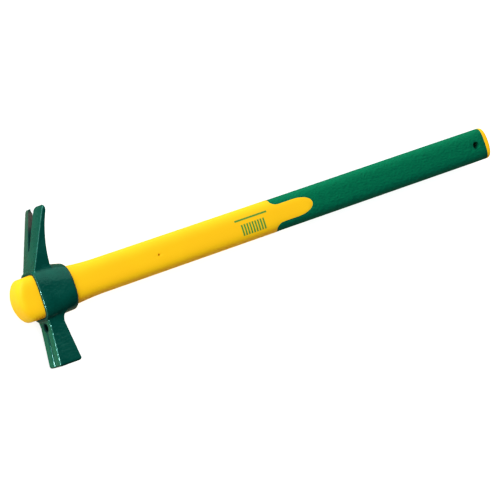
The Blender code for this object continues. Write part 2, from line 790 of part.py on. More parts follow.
def main():
    """Build the whole hammer."""
    clear_scene()
    parts = make_collection("carpenters_hammer")
    cutters = make_collection("cutters")
    origin = make_origin(parts)
    green_paint = make_material("green_paint", (0.006, 0.085, 0.06), 0.22)
    yellow_plastic = make_material("yellow_plastic", (0.95, 0.58, 0.02), 0.4)
    green_rubber = make_material("green_rubber", (0.004, 0.13, 0.07), 0.62)
    glass_fibre = make_material("glass_fibre", (0.62, 0.5, 0.28), 0.5)
    magnet_metal = make_material("magnet_metal", (0.55, 0.55, 0.56), 0.3, 1.0)
    jacket = make_jacket(parts, cutters, origin)
    grip = make_grip(parts, cutters, origin)
    cut_hang_hole((jacket, grip), cutters, origin)
    dressed = (
        (make_head(parts, cutters, origin), green_paint),
        (make_magnet(parts, origin), magnet_metal),
        (jacket, yellow_plastic),
        (grip, green_rubber),
        (make_core(parts, origin), glass_fibre),
    )
    for piece, material in dressed:
        piece.data.materials.append(material)


main()
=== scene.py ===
"""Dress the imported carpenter's hammer: forged head, moulded handle, soft grip and a studio.

The hammer lies on its side. In the working frame used for modelling, +X runs down the
handle from the head's top face, +Y points to the claw and +Z is square to the swing.
Lengths are in metres.
"""

from __future__ import annotations

import logging
import math
from dataclasses import dataclass, field
from enum import Enum
from typing import Callable, Iterable, Sequence

import bmesh
import bpy
from mathutils import Euler, Matrix, Vector
from mathutils.bvhtree import BVHTree
from mathutils.kdtree import KDTree

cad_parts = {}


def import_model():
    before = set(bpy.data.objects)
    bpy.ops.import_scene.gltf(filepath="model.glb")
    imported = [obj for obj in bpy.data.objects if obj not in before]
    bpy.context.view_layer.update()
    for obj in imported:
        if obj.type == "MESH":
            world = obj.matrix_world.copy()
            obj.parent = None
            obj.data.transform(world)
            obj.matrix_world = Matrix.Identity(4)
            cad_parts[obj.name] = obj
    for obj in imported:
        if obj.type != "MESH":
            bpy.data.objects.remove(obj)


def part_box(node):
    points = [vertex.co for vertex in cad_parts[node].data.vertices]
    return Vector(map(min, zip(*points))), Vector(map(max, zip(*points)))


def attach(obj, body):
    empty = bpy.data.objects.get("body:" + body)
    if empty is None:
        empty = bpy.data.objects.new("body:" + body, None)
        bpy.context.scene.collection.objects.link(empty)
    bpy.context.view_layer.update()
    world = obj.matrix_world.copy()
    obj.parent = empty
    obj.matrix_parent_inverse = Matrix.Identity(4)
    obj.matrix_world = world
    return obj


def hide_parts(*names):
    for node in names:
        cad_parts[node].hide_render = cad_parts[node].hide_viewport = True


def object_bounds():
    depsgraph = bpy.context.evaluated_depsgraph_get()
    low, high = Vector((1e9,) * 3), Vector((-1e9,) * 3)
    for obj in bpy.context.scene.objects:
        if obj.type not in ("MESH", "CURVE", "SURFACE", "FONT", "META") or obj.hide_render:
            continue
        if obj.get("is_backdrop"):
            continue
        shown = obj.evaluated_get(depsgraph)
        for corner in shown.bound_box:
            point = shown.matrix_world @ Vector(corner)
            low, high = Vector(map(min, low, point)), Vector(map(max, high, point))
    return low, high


LOG = logging.getLogger("hammer")

Colour = tuple[float, float, float]
Tint = tuple[float, float, float, float]
Span = tuple[float, float]
Ring = list[Vector]
Body = bmesh.types.BMesh
Item = bpy.types.Object
Material = bpy.types.Material
Socket = bpy.types.NodeSocket

# The frame's body that the rebuilt pieces ride on
BODY = "root"
# Points round a cross-section of the handle
RING_POINTS = 96
# Share of the half height over which a bulge builds up
BULGE_RUN = 0.5
# Vertices closer than this are merged
WELD = 0.00002
# Edges that turn more than these are bevelled, and shaded sharp
BEVEL_TURN = math.radians(40)
SHARP_TURN = math.radians(35)
# Places of the colour sockets on a Mix node
MIX_FIRST = 6
MIX_SECOND = 7
MIX_RESULT = 2
# Place of the curve for all channels among a view's curves
ALL_CHANNELS = 3


class Slot(Enum):
    """Material slots of the record, one for each dressed piece."""

    HEAD = "head_paint"
    MAGNET = "magnet"
    JACKET = "jacket_plastic"
    GRIP = "grip_rubber"


class Join(Enum):
    """Ways in which two closed meshes are combined."""

    UNION = "UNION"
    CUT = "DIFFERENCE"


class Mark(Enum):
    """Marks on the head's mesh that its enamel reads."""

    # Lighter paint on the edges: wear, and a painted highlight along them
    WEAR_AND_HIGHLIGHT = "edge_wear"
    # Lighter top faces of arm and claw: partly ground, partly painted light where the side lamps fall
    GROUND_AND_LIT = "ground_face"
    # Painted shade in the slot, the magnet's recess and the gap under the knob
    PAINTED_SHADE = "grime"
    MOUTH = "slot_mouth"
    GROOVE = "cast_groove"
    DULLED = "dulled"


class Coordinates(Enum):
    """Coordinates that a node tree works on."""

    OBJECT = "Object"
    DIRECTION = "Generated"


# Geometry helpers


def spread(start: float, end: float, count: int) -> list[float]:
    """Space values evenly from start to end.

    Args:
        start: first value.
        end: last value.
        count: how many values, both ends included.

    Returns:
        The values in order.
    """
    return [start + (end - start) * step / (count - 1) for step in range(count)]


def blend(start: float, end: float, share: float) -> float:
    """Return the value a share of the way from start to end."""
    return start + (end - start) * share


def clamped(share: float) -> float:
    """Return a share held between 0 and 1."""
    return min(max(share, 0.0), 1.0)


def smoothstep(low: float, high: float, value: float) -> float:
    """Ease from 0 at low to 1 at high.

    Args:
        low: value that gives 0.
        high: value that gives 1.
        value: where to read.

    Returns:
        The eased share.
    """
    share = clamped((value - low) / (high - low))
    return share * share * (3 - 2 * share)


def fillet(distance: float, radius: float) -> float:
    """Give how far a round of a radius still stands off at a distance from its end.

    Args:
        distance: how far along the flat, from the corner.
        radius: the round's radius.

    Returns:
        The stand-off, which is the radius at the corner and nothing past the round.
    """
    reach = min(max(radius - distance, 0.0), radius)
    return radius - math.sqrt(radius**2 - reach**2)


def rounded(radius: float, count: int) -> list[tuple[float, float]]:
    """Give the steps of a quarter round from one face to the next.

    Args:
        radius: the round's radius.
        count: how many steps.

    Returns:
        For each step, how far it lies under the first face and under the next.
    """
    turns = spread(0.0, math.pi / 2, count)
    return [(radius * (1 - math.cos(turn)), radius * (1 - math.sin(turn))) for turn in turns]


@dataclass(frozen=True)
class Outline:
    """A rounded cross-section: half sizes along Y and Z, and how square its corners are."""

    half_y: float
    half_z: float
    power: float

    def grown(self, distance: float) -> Outline:
        """Return the outline with a distance added on every side."""
        return Outline(self.half_y + distance, self.half_z + distance, self.power)

    def scaled(self, factor: float) -> Outline:
        """Return the outline scaled about its centre."""
        return Outline(self.half_y * factor, self.half_z * factor, self.power)

    def mixed(self, other: Outline, share: float) -> Outline:
        """Blend towards another outline.

        Args:
            other: the outline at a share of 1.
            share: how far to go.

        Returns:
            The blend.
        """
        return Outline(
            blend(self.half_y, other.half_y, share),
            blend(self.half_z, other.half_z, share),
            blend(self.power, other.power, share),
        )

    def ring(self, x: float, bulge: float = 0.0, bow: float = 0.0) -> Ring:
        """Place the outline across the handle.

        Args:
            x: station along the handle.
            bulge: how far the cheeks stand out along Z at their middle.
            bow: how far the narrow sides lie back along X.

        Returns:
            The ring's points.
        """
        points = []
        for step in range(RING_POINTS):
            turn = 2 * math.pi * step / RING_POINTS
            across, up = math.cos(turn), math.sin(turn)
            reach = (abs(across) ** self.power + abs(up) ** self.power) ** (-1 / self.power)
            share = (across * reach) ** 2
            side = max(min(up * reach / BULGE_RUN, 1.0), -1.0)
            z = self.half_z * up * reach + bulge * (1 - share) * side
            points.append(Vector((x - bow * share, self.half_y * across * reach, z)))
        return points


def skin(rings: Sequence[Ring]) -> Body:
    """Skin rings of equal count into a closed body, by extruding one circle along them.

    Args:
        rings: the rings in order.

    Returns:
        The closed body.
    """
    bm = bmesh.new()
    made = bmesh.ops.create_circle(bm, segments=len(rings[0]), radius=1.0, cap_ends=False)
    order = {vert: index for index, vert in enumerate(made["verts"])}
    for vert, index in order.items():
        vert.co = rings[0][index]
    first_loop = list(bm.edges)
    edges = first_loop
    for ring in rings[1:]:
        grown = bmesh.ops.extrude_edge_only(bm, edges=edges)["geom"]
        fresh = {item for item in grown if isinstance(item, bmesh.types.BMVert)}
        edges = [item for item in grown if isinstance(item, bmesh.types.BMEdge)]
        edges = [edge for edge in edges if all(vert in fresh for vert in edge.verts)]
        follow = {}
        for vert in fresh:
            for edge in vert.link_edges:
                other = edge.other_vert(vert)
                if other in order:
                    follow[vert] = order[other]
        for vert, index in follow.items():
            vert.co = ring[index]
        order = follow
    for loop in (first_loop, edges):
        bmesh.ops.contextual_create(bm, geom=loop)
    bmesh.ops.recalc_face_normals(bm, faces=bm.faces)
    return bm


def prism(outline: Sequence[tuple[float, float]], start: float, end: float) -> Body:
    """Extrude a flat outline in X and Y along Z.

    Args:
        outline: its corners.
        start: lower place along Z.
        end: upper place along Z.

    Returns:
        The closed body.
    """
    return skin([[Vector((x, y, height)) for x, y in outline] for height in (start, end)])


def rod(diameter: float, start: Vector, end: Vector, sides: int = 64, grown: float = 0.0) -> Body:
    """Make a closed cylinder or cone between two points.

    Args:
        diameter: its diameter at the start.
        start: centre of one end.
        end: centre of the other end.
        sides: sides round it.
        grown: how much wider it is at the end.

    Returns:
        The closed body.
    """
    bm = bmesh.new()
    span = end - start
    turn = Vector((0.0, 0.0, 1.0)).rotation_difference(span.normalized()).to_matrix().to_4x4()
    bmesh.ops.create_cone(
        bm,
        cap_ends=True,
        segments=sides,
        radius1=diameter / 2,
        radius2=(diameter + grown) / 2,
        depth=span.length,
        matrix=Matrix.Translation((start + end) / 2) @ turn,
    )
    return bm


def opened(item: Item) -> Body:
    """Copy an object's mesh into a body that can be worked on.

    Args:
        item: the object.

    Returns:
        The body.
    """
    bm = bmesh.new()
    bm.from_mesh(item.data)
    return bm


def close(bm: Body, item: Item) -> None:
    """Write a body into an object's mesh and free it.

    Args:
        bm: the body.
        item: the object.
    """
    bm.to_mesh(item.data)
    bm.free()


def to_object(bm: Body, name: str) -> Item:
    """Turn a body into an object of the scene.

    Args:
        bm: the body, which is freed.
        name: the object's name.

    Returns:
        The new object at the origin.
    """
    item = bpy.data.objects.new(name, bpy.data.meshes.new(name))
    close(bm, item)
    bpy.context.scene.collection.objects.link(item)
    return item


def settle(item: Item) -> None:
    """Apply an object's modifiers to its mesh.

    Args:
        item: the object.
    """
    graph = bpy.context.evaluated_depsgraph_get()
    mesh = bpy.data.meshes.new_from_object(item.evaluated_get(graph), depsgraph=graph)
    old = item.data
    item.modifiers.clear()
    item.data = mesh
    bpy.data.meshes.remove(old)
    mesh.name = item.name


def combine(item: Item, bm: Body, how: Join) -> None:
    """Join or cut an object with another body, which is used up.

    Args:
        item: the object to change.
        bm: the other body.
        how: the kind of combination.
    """
    other = to_object(bm, "tool")
    step = item.modifiers.new("combine", "BOOLEAN")
    step.operation = how.value
    step.solver = "EXACT"
    step.object = other
    settle(item)
    mesh = other.data
    bpy.data.objects.remove(other, do_unlink=True)
    bpy.data.meshes.remove(mesh)


def relax(bm: Body, verts: Sequence[bmesh.types.BMVert], passes: int) -> None:
    """Draw vertices towards the middle of their neighbours.

    Args:
        bm: their body.
        verts: the vertices.
        passes: how often.
    """
    axes = {"use_axis_x": True, "use_axis_y": True, "use_axis_z": True}
    for _ in range(passes):
        bmesh.ops.smooth_vert(bm, verts=verts, factor=0.5, **axes)


def soften(item: Item, width: float, segments: int = 2) -> None:
    """Round the sharp edges of an object by a small bevel.

    Args:
        item: the object.
        width: the bevel's width.
        segments: the bevel's segments.
    """
    bm = opened(item)
    bmesh.ops.remove_doubles(bm, verts=bm.verts, dist=WELD)
    bmesh.ops.dissolve_degenerate(bm, dist=WELD, edges=bm.edges)
    sharp = [edge for edge in bm.edges if edge.is_manifold and edge.calc_face_angle() > BEVEL_TURN]
    bmesh.ops.bevel(
        bm,
        geom=sharp,
        offset=width,
        offset_type="OFFSET",
        segments=segments,
        profile=0.5,
        affect="EDGES",
        clamp_overlap=True,
        material=-1,
    )
    close(bm, item)


def shade(item: Item) -> None:
    """Shade an object smooth, and keep its sharp edges."""
    item.data.shade_smooth()
    item.data.set_sharp_from_angle(angle=SHARP_TURN)


# Sizes of the hammer


@dataclass(frozen=True)
class Handle:
    """Outer form of the handle, the same for the jacket, the grip and the eye."""

    # Places and lengths along the handle
    knob_height: float = 0.0191
    knob_dome: float = 0.0104
    dome_power_y: float = 1.92
    dome_power_z: float = 3.9
    crest_turn: float = math.radians(86)
    eye_length: float = 0.0338
    shoulder_length: float = 0.03
    grip_start: float = 0.2403
    grip_ramp: float = 0.006
    grip_end: float = 0.4784
    end: float = 0.4832
    rim_edge: float = 0.0015
    rim_bow: float = 0.0016
    # Cross-sections
    knob: Outline = Outline(0.01875, 0.0114, 4.5)
    knob_crest: Outline = Outline(0.01875, 0.0114, 2.38)
    shoulder: Outline = Outline(0.017, 0.0115, 3.0)
    shaft: Outline = Outline(0.01525, 0.0106, 3.3)
    waist: Outline = Outline(0.0149, 0.0104, 3.3)
    grip: Outline = Outline(0.01465, 0.0102, 3.3)
    butt: Outline = Outline(0.0145, 0.00985, 3.4)
    # Rings on each stretch, and how large the butt's end rings are
    dome_rings: int = 22
    eye_rings: int = 8
    shoulder_rings: int = 16
    shaft_rings: int = 30
    ramp_rings: int = 5
    grip_rings: int = 40
    rim_rings: int = 7
    end_rings: tuple[float, ...] = (0.85, 0.7, 0.5, 0.3)

    @property
    def shaft_start(self) -> float:
        """Return where the shoulder runs out into the shaft."""
        return self.eye_length + self.shoulder_length

    @property
    def ramp_end(self) -> float:
        """Return where the grip has its full girth."""
        return self.grip_start + self.grip_ramp

    @property
    def reach(self) -> float:
        """Return how far a cutter reaches to pass every side of the handle."""
        return self.knob.half_y * 2

    def outline(self, x: float) -> Outline:
        """Give the outer outline at a station below the knob's dome.

        Args:
            x: the station.

        Returns:
            The outline.
        """
        if x <= 0.0:
            return self.knob
        if x <= self.eye_length:
            return self.knob.mixed(self.shoulder, x / self.eye_length)
        if x <= self.shaft_start:
            share = (x - self.eye_length) / self.shoulder_length
            return self.shoulder.mixed(self.shaft, math.sin(share * math.pi / 2))
        if x <= self.grip_start:
            share = (x - self.shaft_start) / (self.grip_start - self.shaft_start)
            return self.shaft.mixed(self.waist, share)
        if x <= self.ramp_end:
            return self.waist.mixed(self.grip, (x - self.grip_start) / self.grip_ramp)
        share = (x - self.ramp_end) / (self.grip_end - self.ramp_end)
        return self.grip.mixed(self.butt, min(share, 1.0))

    def dome(self) -> list[Ring]:
        """Draw the knob's rings from its crest to the foot of its dome.

        Returns:
            The rings.
        """
        rings = []
        power_y, power_z = self.dome_power_y, self.dome_power_z
        for turn in spread(self.crest_turn, 0.0, self.dome_rings):
            rise = math.sin(turn)
            outline = Outline(
                self.knob.half_y * (1 - rise**power_y) ** (1 / power_y),
                self.knob.half_z * (1 - rise**power_z) ** (1 / power_z),
                blend(self.knob.power, self.knob_crest.power, rise),
            )
            drop = self.knob_dome * (1 - rise / math.sin(self.crest_turn))
            rings.append(outline.ring(drop - self.knob_height))
        return rings

    def grip_stations(self) -> list[float]:
        """Return the stations of the grip's rings, close together on its ramp."""
        ramp = spread(self.grip_start, self.ramp_end, self.ramp_rings)
        return ramp + spread(self.ramp_end, self.grip_end, self.grip_rings)[1:]

    def stations(self) -> list[float]:
        """Place the rings between the dome and the rim.

        Returns:
            Their stations.
        """
        stations = spread(0.0, self.eye_length, self.eye_rings)
        stations += spread(self.eye_length, self.shaft_start, self.shoulder_rings)[1:]
        stations += spread(self.shaft_start, self.grip_start, self.shaft_rings)[1:]
        return stations + self.grip_stations()[1:]

    def rim(self) -> list[Ring]:
        """Draw the rings of the butt's rounded rim and of its slightly bowed end.

        Returns:
            The rings.
        """
        rings = []
        for inset, back in rounded(self.rim_edge, self.rim_rings):
            rings.append(self.butt.grown(-inset).ring(self.end - back, bow=self.rim_bow))
        flat = self.butt.grown(-self.rim_edge)
        for factor in self.end_rings:
            rings.append(flat.scaled(factor).ring(self.end, bow=self.rim_bow * factor**2))
        return rings


HANDLE = Handle()


def hammer_place() -> Matrix:
    """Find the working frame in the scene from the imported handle.

    Returns:
        The matrix that takes the working frame to the scene.
    """
    low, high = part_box("handle_jacket")
    middle = (Vector(low) + Vector(high)) / 2
    return Matrix.Translation((low[0] + HANDLE.knob_height, middle.y, middle.z))


# Finishes


@dataclass(frozen=True)
class Grain:
    """A noise pattern: features to a metre, octaves, weight of the fine ones and stretch."""

    scale: float
    octaves: float = 3.0
    weight: float = 0.5
    stretch: tuple[float, float, float] | None = None


@dataclass
class Graph:
    """A node tree, with short ways to add and link nodes."""

    tree: bpy.types.NodeTree
    coordinates: Coordinates
    place: Socket = field(init=False)

    def __post_init__(self) -> None:
        """Add the coordinates."""
        node = self.tree.nodes.new("ShaderNodeTexCoord")
        self.place = node.outputs[self.coordinates.value]

    def link(self, source: Socket, target: Socket) -> None:
        """Link two sockets."""
        self.tree.links.new(source, target)

    def split(self) -> Iterable[Socket]:
        """Return the coordinates one by one.

        Returns:
            The sockets of X, Y and Z.
        """
        node = self.tree.nodes.new("ShaderNodeSeparateXYZ")
        self.link(self.place, node.inputs["Vector"])
        return node.outputs

    def mapped(self, scale: Sequence[float]) -> Socket:
        """Return the coordinates scaled.

        Args:
            scale: factor along each axis.

        Returns:
            The coordinates.
        """
        node = self.tree.nodes.new("ShaderNodeMapping")
        node.inputs["Scale"].default_value = scale
        self.link(self.place, node.inputs["Vector"])
        return node.outputs["Vector"]

    def noise(self, grain: Grain) -> Socket:
        """Add a noise texture.

        Args:
            grain: its pattern.

        Returns:
            The noise value.
        """
        node = self.tree.nodes.new("ShaderNodeTexNoise")
        node.inputs["Scale"].default_value = grain.scale
        node.inputs["Detail"].default_value = grain.octaves
        node.inputs["Roughness"].default_value = grain.weight
        place = self.mapped(grain.stretch) if grain.stretch else self.place
        self.link(place, node.inputs["Vector"])
        return node.outputs["Fac"]

    def ramp(self, value: Socket, low: float, high: float) -> Socket:
        """Ease a value so that low gives 0 and high gives 1.

        Args:
            value: the value to read.
            low: what gives 0.
            high: what gives 1.

        Returns:
            The share.
        """
        node = self.tree.nodes.new("ShaderNodeMapRange")
        node.interpolation_type = "SMOOTHSTEP"
        node.inputs["From Min"].default_value = low
        node.inputs["From Max"].default_value = high
        self.link(value, node.inputs["Value"])
        return node.outputs["Result"]

    def between(self, share: Socket, low: float, high: float) -> Socket:
        """Turn a share from 0 to 1 into a value from low to high.

        Args:
            share: the share.
            low: value at 0.
            high: value at 1.

        Returns:
            The value.
        """
        node = self.tree.nodes.new("ShaderNodeMapRange")
        node.inputs["To Min"].default_value = low
        node.inputs["To Max"].default_value = high
        self.link(share, node.inputs["Value"])
        return node.outputs["Result"]

    def band(self, value: Socket, span: Span, bleed: float) -> Socket:
        """Give 1 between two values and 0 outside them.

        Args:
            value: the value to read.
            span: where the band starts and ends.
            bleed: how soft its ends are.

        Returns:
            The band.
        """
        rise, fall = (self.ramp(value, edge - bleed, edge + bleed) for edge in span)
        return self.math("SUBTRACT", rise, fall)

    def math(self, kind: str, first: Socket, second: Socket | float) -> Socket:
        """Combine two values.

        Args:
            kind: the operation, as the Math node names it.
            first: a socket.
            second: a socket or a number.

        Returns:
            The result.
        """
        node = self.tree.nodes.new("ShaderNodeMath")
        node.operation = kind
        self.link(first, node.inputs[0])
        if isinstance(second, (int, float)):
            node.inputs[1].default_value = second
        else:
            self.link(second, node.inputs[1])
        return node.outputs[0]

    def times(self, first: Socket, second: Socket | float) -> Socket:
        """Return the product of two values."""
        return self.math("MULTIPLY", first, second)

    def mix(self, share: Socket, first: Socket | Colour, second: Socket | Colour) -> Socket:
        """Mix two colours by a share.

        Args:
            share: 0 gives the first colour, 1 the second.
            first: a socket or a colour.
            second: a socket or a colour.

        Returns:
            The mixed colour.
        """
        node = self.tree.nodes.new("ShaderNodeMix")
        node.data_type = "RGBA"
        self.link(share, node.inputs[0])
        for socket, value in ((node.inputs[MIX_FIRST], first), (node.inputs[MIX_SECOND], second)):
            if isinstance(value, tuple):
                socket.default_value = (*value, 1.0)
            else:
                self.link(value, socket)
        return node.outputs[MIX_RESULT]


class Coat(Graph):
    """The node tree of a new material."""

    def __init__(self, name: str) -> None:
        """Make the material.

        Args:
            name: its name.
        """
        self.material = bpy.data.materials.new(name)
        self.material.use_nodes = True
        super().__init__(self.material.node_tree, Coordinates.OBJECT)
        self.shader = self.tree.nodes["Principled BSDF"]

    def set(self, **values: float | Sequence[float]) -> None:
        """Set the shader's own sockets, named with underscores for spaces."""
        for name, value in values.items():
            self.shader.inputs[name.replace("_", " ")].default_value = value

    def feed(self, **sources: Socket) -> None:
        """Link to the shader's sockets, named with underscores for spaces."""
        for name, source in sources.items():
            self.link(source, self.shader.inputs[name.replace("_", " ")])

    def mark(self, kind: Mark) -> Socket:
        """Return the value of one of the mesh's marks.

        Args:
            kind: the mark.

        Returns:
            Its value.
        """
        node = self.tree.nodes.new("ShaderNodeAttribute")
        node.attribute_name = kind.value
        return node.outputs["Fac"]

    def bump(self, height: Socket, depth: float, under: Socket | None = None) -> Socket:
        """Turn a height into a normal.

        Args:
            height: the height from 0 to 1.
            depth: metres from 0 to 1.
            under: a normal from a coarser bump.

        Returns:
            The normal.
        """
        node = self.tree.nodes.new("ShaderNodeBump")
        node.inputs["Strength"].default_value = 1.0
        node.inputs["Distance"].default_value = depth
        self.link(height, node.inputs["Height"])
        if under is not None:
            self.link(under, node.inputs["Normal"])
        return node.outputs["Normal"]


@dataclass(frozen=True)
class EnamelFinish:
    """Glossy dark green enamel over a forged and fettled steel head; its lighter edges and top faces
    are partly painted light, and its dark hollows are painted shade.
    """

    deep: Colour = (0.0, 0.049, 0.036)
    fresh: Colour = (0.0, 0.06, 0.044)
    # Lighter green of the top faces: partly a ground finish, partly painted light
    ground: Colour = (0.0, 0.1, 0.062)
    # Lighter green on the edges: worn paint, and a painted highlight
    thin_paint_highlight: Colour = (0.012, 0.13, 0.09)
    # Dark green of the painted shade in the slot, the magnet's recess and under the knob
    grime: Colour = (0.0, 0.02, 0.017)
    steel: Colour = (0.062, 0.052, 0.044)
    gloss: Tint = (0.5, 1.0, 0.92, 1.0)
    flow: Grain = Grain(70.0, 4.0)
    flow_span: Span = (0.3, 0.7)
    spots: Grain = Grain(420.0)
    spots_span: Span = (0.35, 0.65)
    worn_and_lit: Span = (0.0, 0.4)
    chipped: Span = (0.6, 1.0)
    sheen: Span = (0.1, 0.26)
    painted_shade_dullness: float = 0.7
    rubbed_dullness: float = 0.3
    rubbed_flatness: float = 0.7
    specular: Span = (0.5, 0.08)
    glossy_spots: Span = (0.57, 0.61)
    glossy_rubs: Span = (0.5, 0.8)
    forged: Grain = Grain(120.0)
    peel: Grain = Grain(400.0, 1.0)
    cast: Grain = Grain(950.0, 1.0)
    cast_height: float = 2.0
    relief: float = 0.00018
    refraction: float = 1.5

    def colour(self, coat: Coat, flow: Socket, spots: Socket) -> Socket:
        """Layer the enamel's greens, the lighter edges and top faces, the painted shade and the bare
        steel.

        Args:
            coat: the material's nodes.
            flow: where the enamel ran thicker.
            spots: the noise that breaks up wear.

        Returns:
            The colour.
        """
        patchy = coat.ramp(spots, *self.spots_span)
        colour = coat.mix(flow, self.deep, self.fresh)
        # Lighten the top faces of arm and claw: partly ground, partly painted light
        colour = coat.mix(coat.mark(Mark.GROUND_AND_LIT), colour, self.ground)
        # Lighten the edges: worn paint, and a painted highlight along them
        worn_and_lit = coat.times(coat.mark(Mark.WEAR_AND_HIGHLIGHT), coat.between(patchy, *self.worn_and_lit))
        colour = coat.mix(worn_and_lit, colour, self.thin_paint_highlight)
        # Painted shade darkens the slot's walls, the magnet's recess and the gap under the knob
        colour = coat.mix(coat.mark(Mark.PAINTED_SHADE), colour, self.grime)
        bare = coat.times(coat.mark(Mark.MOUTH), coat.between(patchy, *self.chipped))
        return coat.mix(bare, colour, self.steel)

    def lustre(self, coat: Coat, flow: Socket, spots: Socket) -> tuple[Socket, Socket]:
        """Dull the enamel in the painted shade and where it is rubbed, apart from small glossy spots.

        Args:
            coat: the material's nodes.
            flow: where the enamel ran thicker.
            spots: the noise that gives the spots.

        Returns:
            The roughness and the specular level.
        """
        grime = coat.mark(Mark.PAINTED_SHADE)
        dulled = coat.mark(Mark.DULLED)
        glossy = coat.times(coat.ramp(spots, *self.glossy_spots), coat.ramp(dulled, *self.glossy_rubs))
        rubbed = coat.math("SUBTRACT", dulled, glossy)
        dull = coat.between(flow, *self.sheen)
        dull = coat.math("ADD", dull, coat.between(grime, 0.0, self.painted_shade_dullness))
        dull = coat.math("ADD", dull, coat.between(rubbed, 0.0, self.rubbed_dullness))
        # The painted shade also gets a lower specular level, which darkens it further
        flat = coat.math("MAXIMUM", grime, coat.between(rubbed, 0.0, self.rubbed_flatness))
        return dull, coat.between(flat, *self.specular)

    def surface(self, coat: Coat) -> Socket:
        """Lay orange peel and the groove's rough casting over the forging's slow waves.

        Args:
            coat: the material's nodes.

        Returns:
            The normal.
        """
        cast = coat.times(coat.noise(self.cast), coat.mark(Mark.GROOVE))
        height = coat.math("ADD", coat.noise(self.peel), coat.times(cast, self.cast_height))
        return coat.bump(height, self.relief, coat.bump(coat.noise(self.forged), self.relief))

    def build(self) -> Material:
        """Make the material.

        Returns:
            The material.
        """
        coat = Coat("green_enamel")
        flow = coat.ramp(coat.noise(self.flow), *self.flow_span)
        spots = coat.noise(self.spots)
        roughness, specular = self.lustre(coat, flow, spots)
        coat.feed(Base_Color=self.colour(coat, flow, spots), Roughness=roughness)
        coat.feed(Specular_IOR_Level=specular, Normal=self.surface(coat))
        coat.set(IOR=self.refraction, Specular_Tint=self.gloss)
        return coat.material


@dataclass(frozen=True)
class MouldedFinish:
    """Hard yellow plastic with a soft sheen and a plain printed block of even green bars."""

    yellow: Colour = (0.94, 0.48, 0.008)
    warm: Colour = (0.93, 0.46, 0.008)
    ink: Colour = (0.02, 0.2, 0.04)
    bars_x: Span = (0.2047, 0.2303)
    bars_y: Span = (-0.0088, 0.0012)
    rule_x: Span = (0.1998, 0.234)
    rule_y: Span = (0.0046, 0.0064)
    bars: int = 9
    bar_share: float = 0.66
    bleed: float = 0.00015
    speckle: Grain = Grain(1800.0)
    speckle_span: Span = (0.3, 0.5)
    cover: Span = (0.75, 0.95)
    cloud: Grain = Grain(35.0)
    cloud_span: Span = (0.3, 0.7)
    sheen: Grain = Grain(260.0)
    sheen_span: Span = (0.42, 0.54)
    texture: Grain = Grain(1500.0)
    relief: float = 0.00001
    refraction: float = 1.22

    def box(self, coat: Coat, x: Socket, y: Socket, spans: tuple[Span, Span]) -> Socket:
        """Give 1 inside a printed rectangle.

        Args:
            coat: the material's nodes.
            x: place along the handle.
            y: place across it.
            spans: the rectangle's spans along and across.

        Returns:
            The share of ink.
        """
        along, across = spans
        return coat.times(coat.band(x, along, self.bleed), coat.band(y, across, self.bleed))

    def printed(self, coat: Coat, place: Matrix) -> Socket:
        """Give the share of ink: a block of even bars under one rule, on the upper side.

        Args:
            coat: the material's nodes.
            place: the hammer's working frame in the scene.

        Returns:
            1 on the ink and 0 elsewhere.
        """
        axes = zip(coat.split(), place.translation)
        x, y, z = (coat.math("SUBTRACT", axis, start) for axis, start in axes)
        pitch = (self.bars_x[1] - self.bars_x[0]) / self.bars
        gap = pitch * (1 - self.bar_share) / 2
        wave = coat.math("PINGPONG", coat.math("SUBTRACT", x, self.bars_x[0] - gap), pitch / 2)
        bar = coat.ramp(wave, gap - self.bleed, gap + self.bleed)
        block = coat.times(bar, self.box(coat, x, y, (self.bars_x, self.bars_y)))
        rule = self.box(coat, x, y, (self.rule_x, self.rule_y))
        ink = coat.math("MAXIMUM", block, rule)
        speckle = coat.ramp(coat.noise(self.speckle), *self.speckle_span)
        upper = coat.math("GREATER_THAN", z, 0.0)
        return coat.times(coat.times(ink, coat.between(speckle, *self.cover)), upper)

    def build(self, place: Matrix) -> Material:
        """Make the material.

        Args:
            place: the hammer's working frame in the scene.

        Returns:
            The material.
        """
        coat = Coat("yellow_moulding")
        cloud = coat.ramp(coat.noise(self.cloud), *self.cloud_span)
        body = coat.mix(cloud, self.yellow, self.warm)
        sheen = coat.between(coat.noise(self.sheen), *self.sheen_span)
        coat.feed(Base_Color=coat.mix(self.printed(coat, place), body, self.ink), Roughness=sheen)
        coat.feed(Normal=coat.bump(coat.noise(self.texture), self.relief))
        coat.set(IOR=self.refraction)
        return coat.material


@dataclass(frozen=True)
class RubberFinish:
    """Green elastomer with a fine leather-like grain."""

    light: Colour = (0.0, 0.122, 0.063)
    dark: Colour = (0.0, 0.113, 0.059)
    blotch: Grain = Grain(260.0, stretch=(0.8, 1.0, 1.0))
    blotch_span: Span = (0.35, 0.65)
    sheen: Span = (0.5, 0.62)
    leather: Grain = Grain(690.0, 0.0, stretch=(0.8, 1.0, 1.0))
    leather_relief: float = 0.0006
    texture: Grain = Grain(1300.0)
    texture_relief: float = 0.00003
    refraction: float = 1.12

    def build(self) -> Material:
        """Make the material.

        Returns:
            The material.
        """
        coat = Coat("green_rubber")
        blotch = coat.ramp(coat.noise(self.blotch), *self.blotch_span)
        colour = coat.mix(blotch, self.dark, self.light)
        coat.feed(Base_Color=colour, Roughness=coat.between(blotch, *self.sheen))
        leather = coat.bump(coat.noise(self.leather), self.leather_relief)
        coat.feed(Normal=coat.bump(coat.noise(self.texture), self.texture_relief, leather))
        coat.set(IOR=self.refraction)
        return coat.material


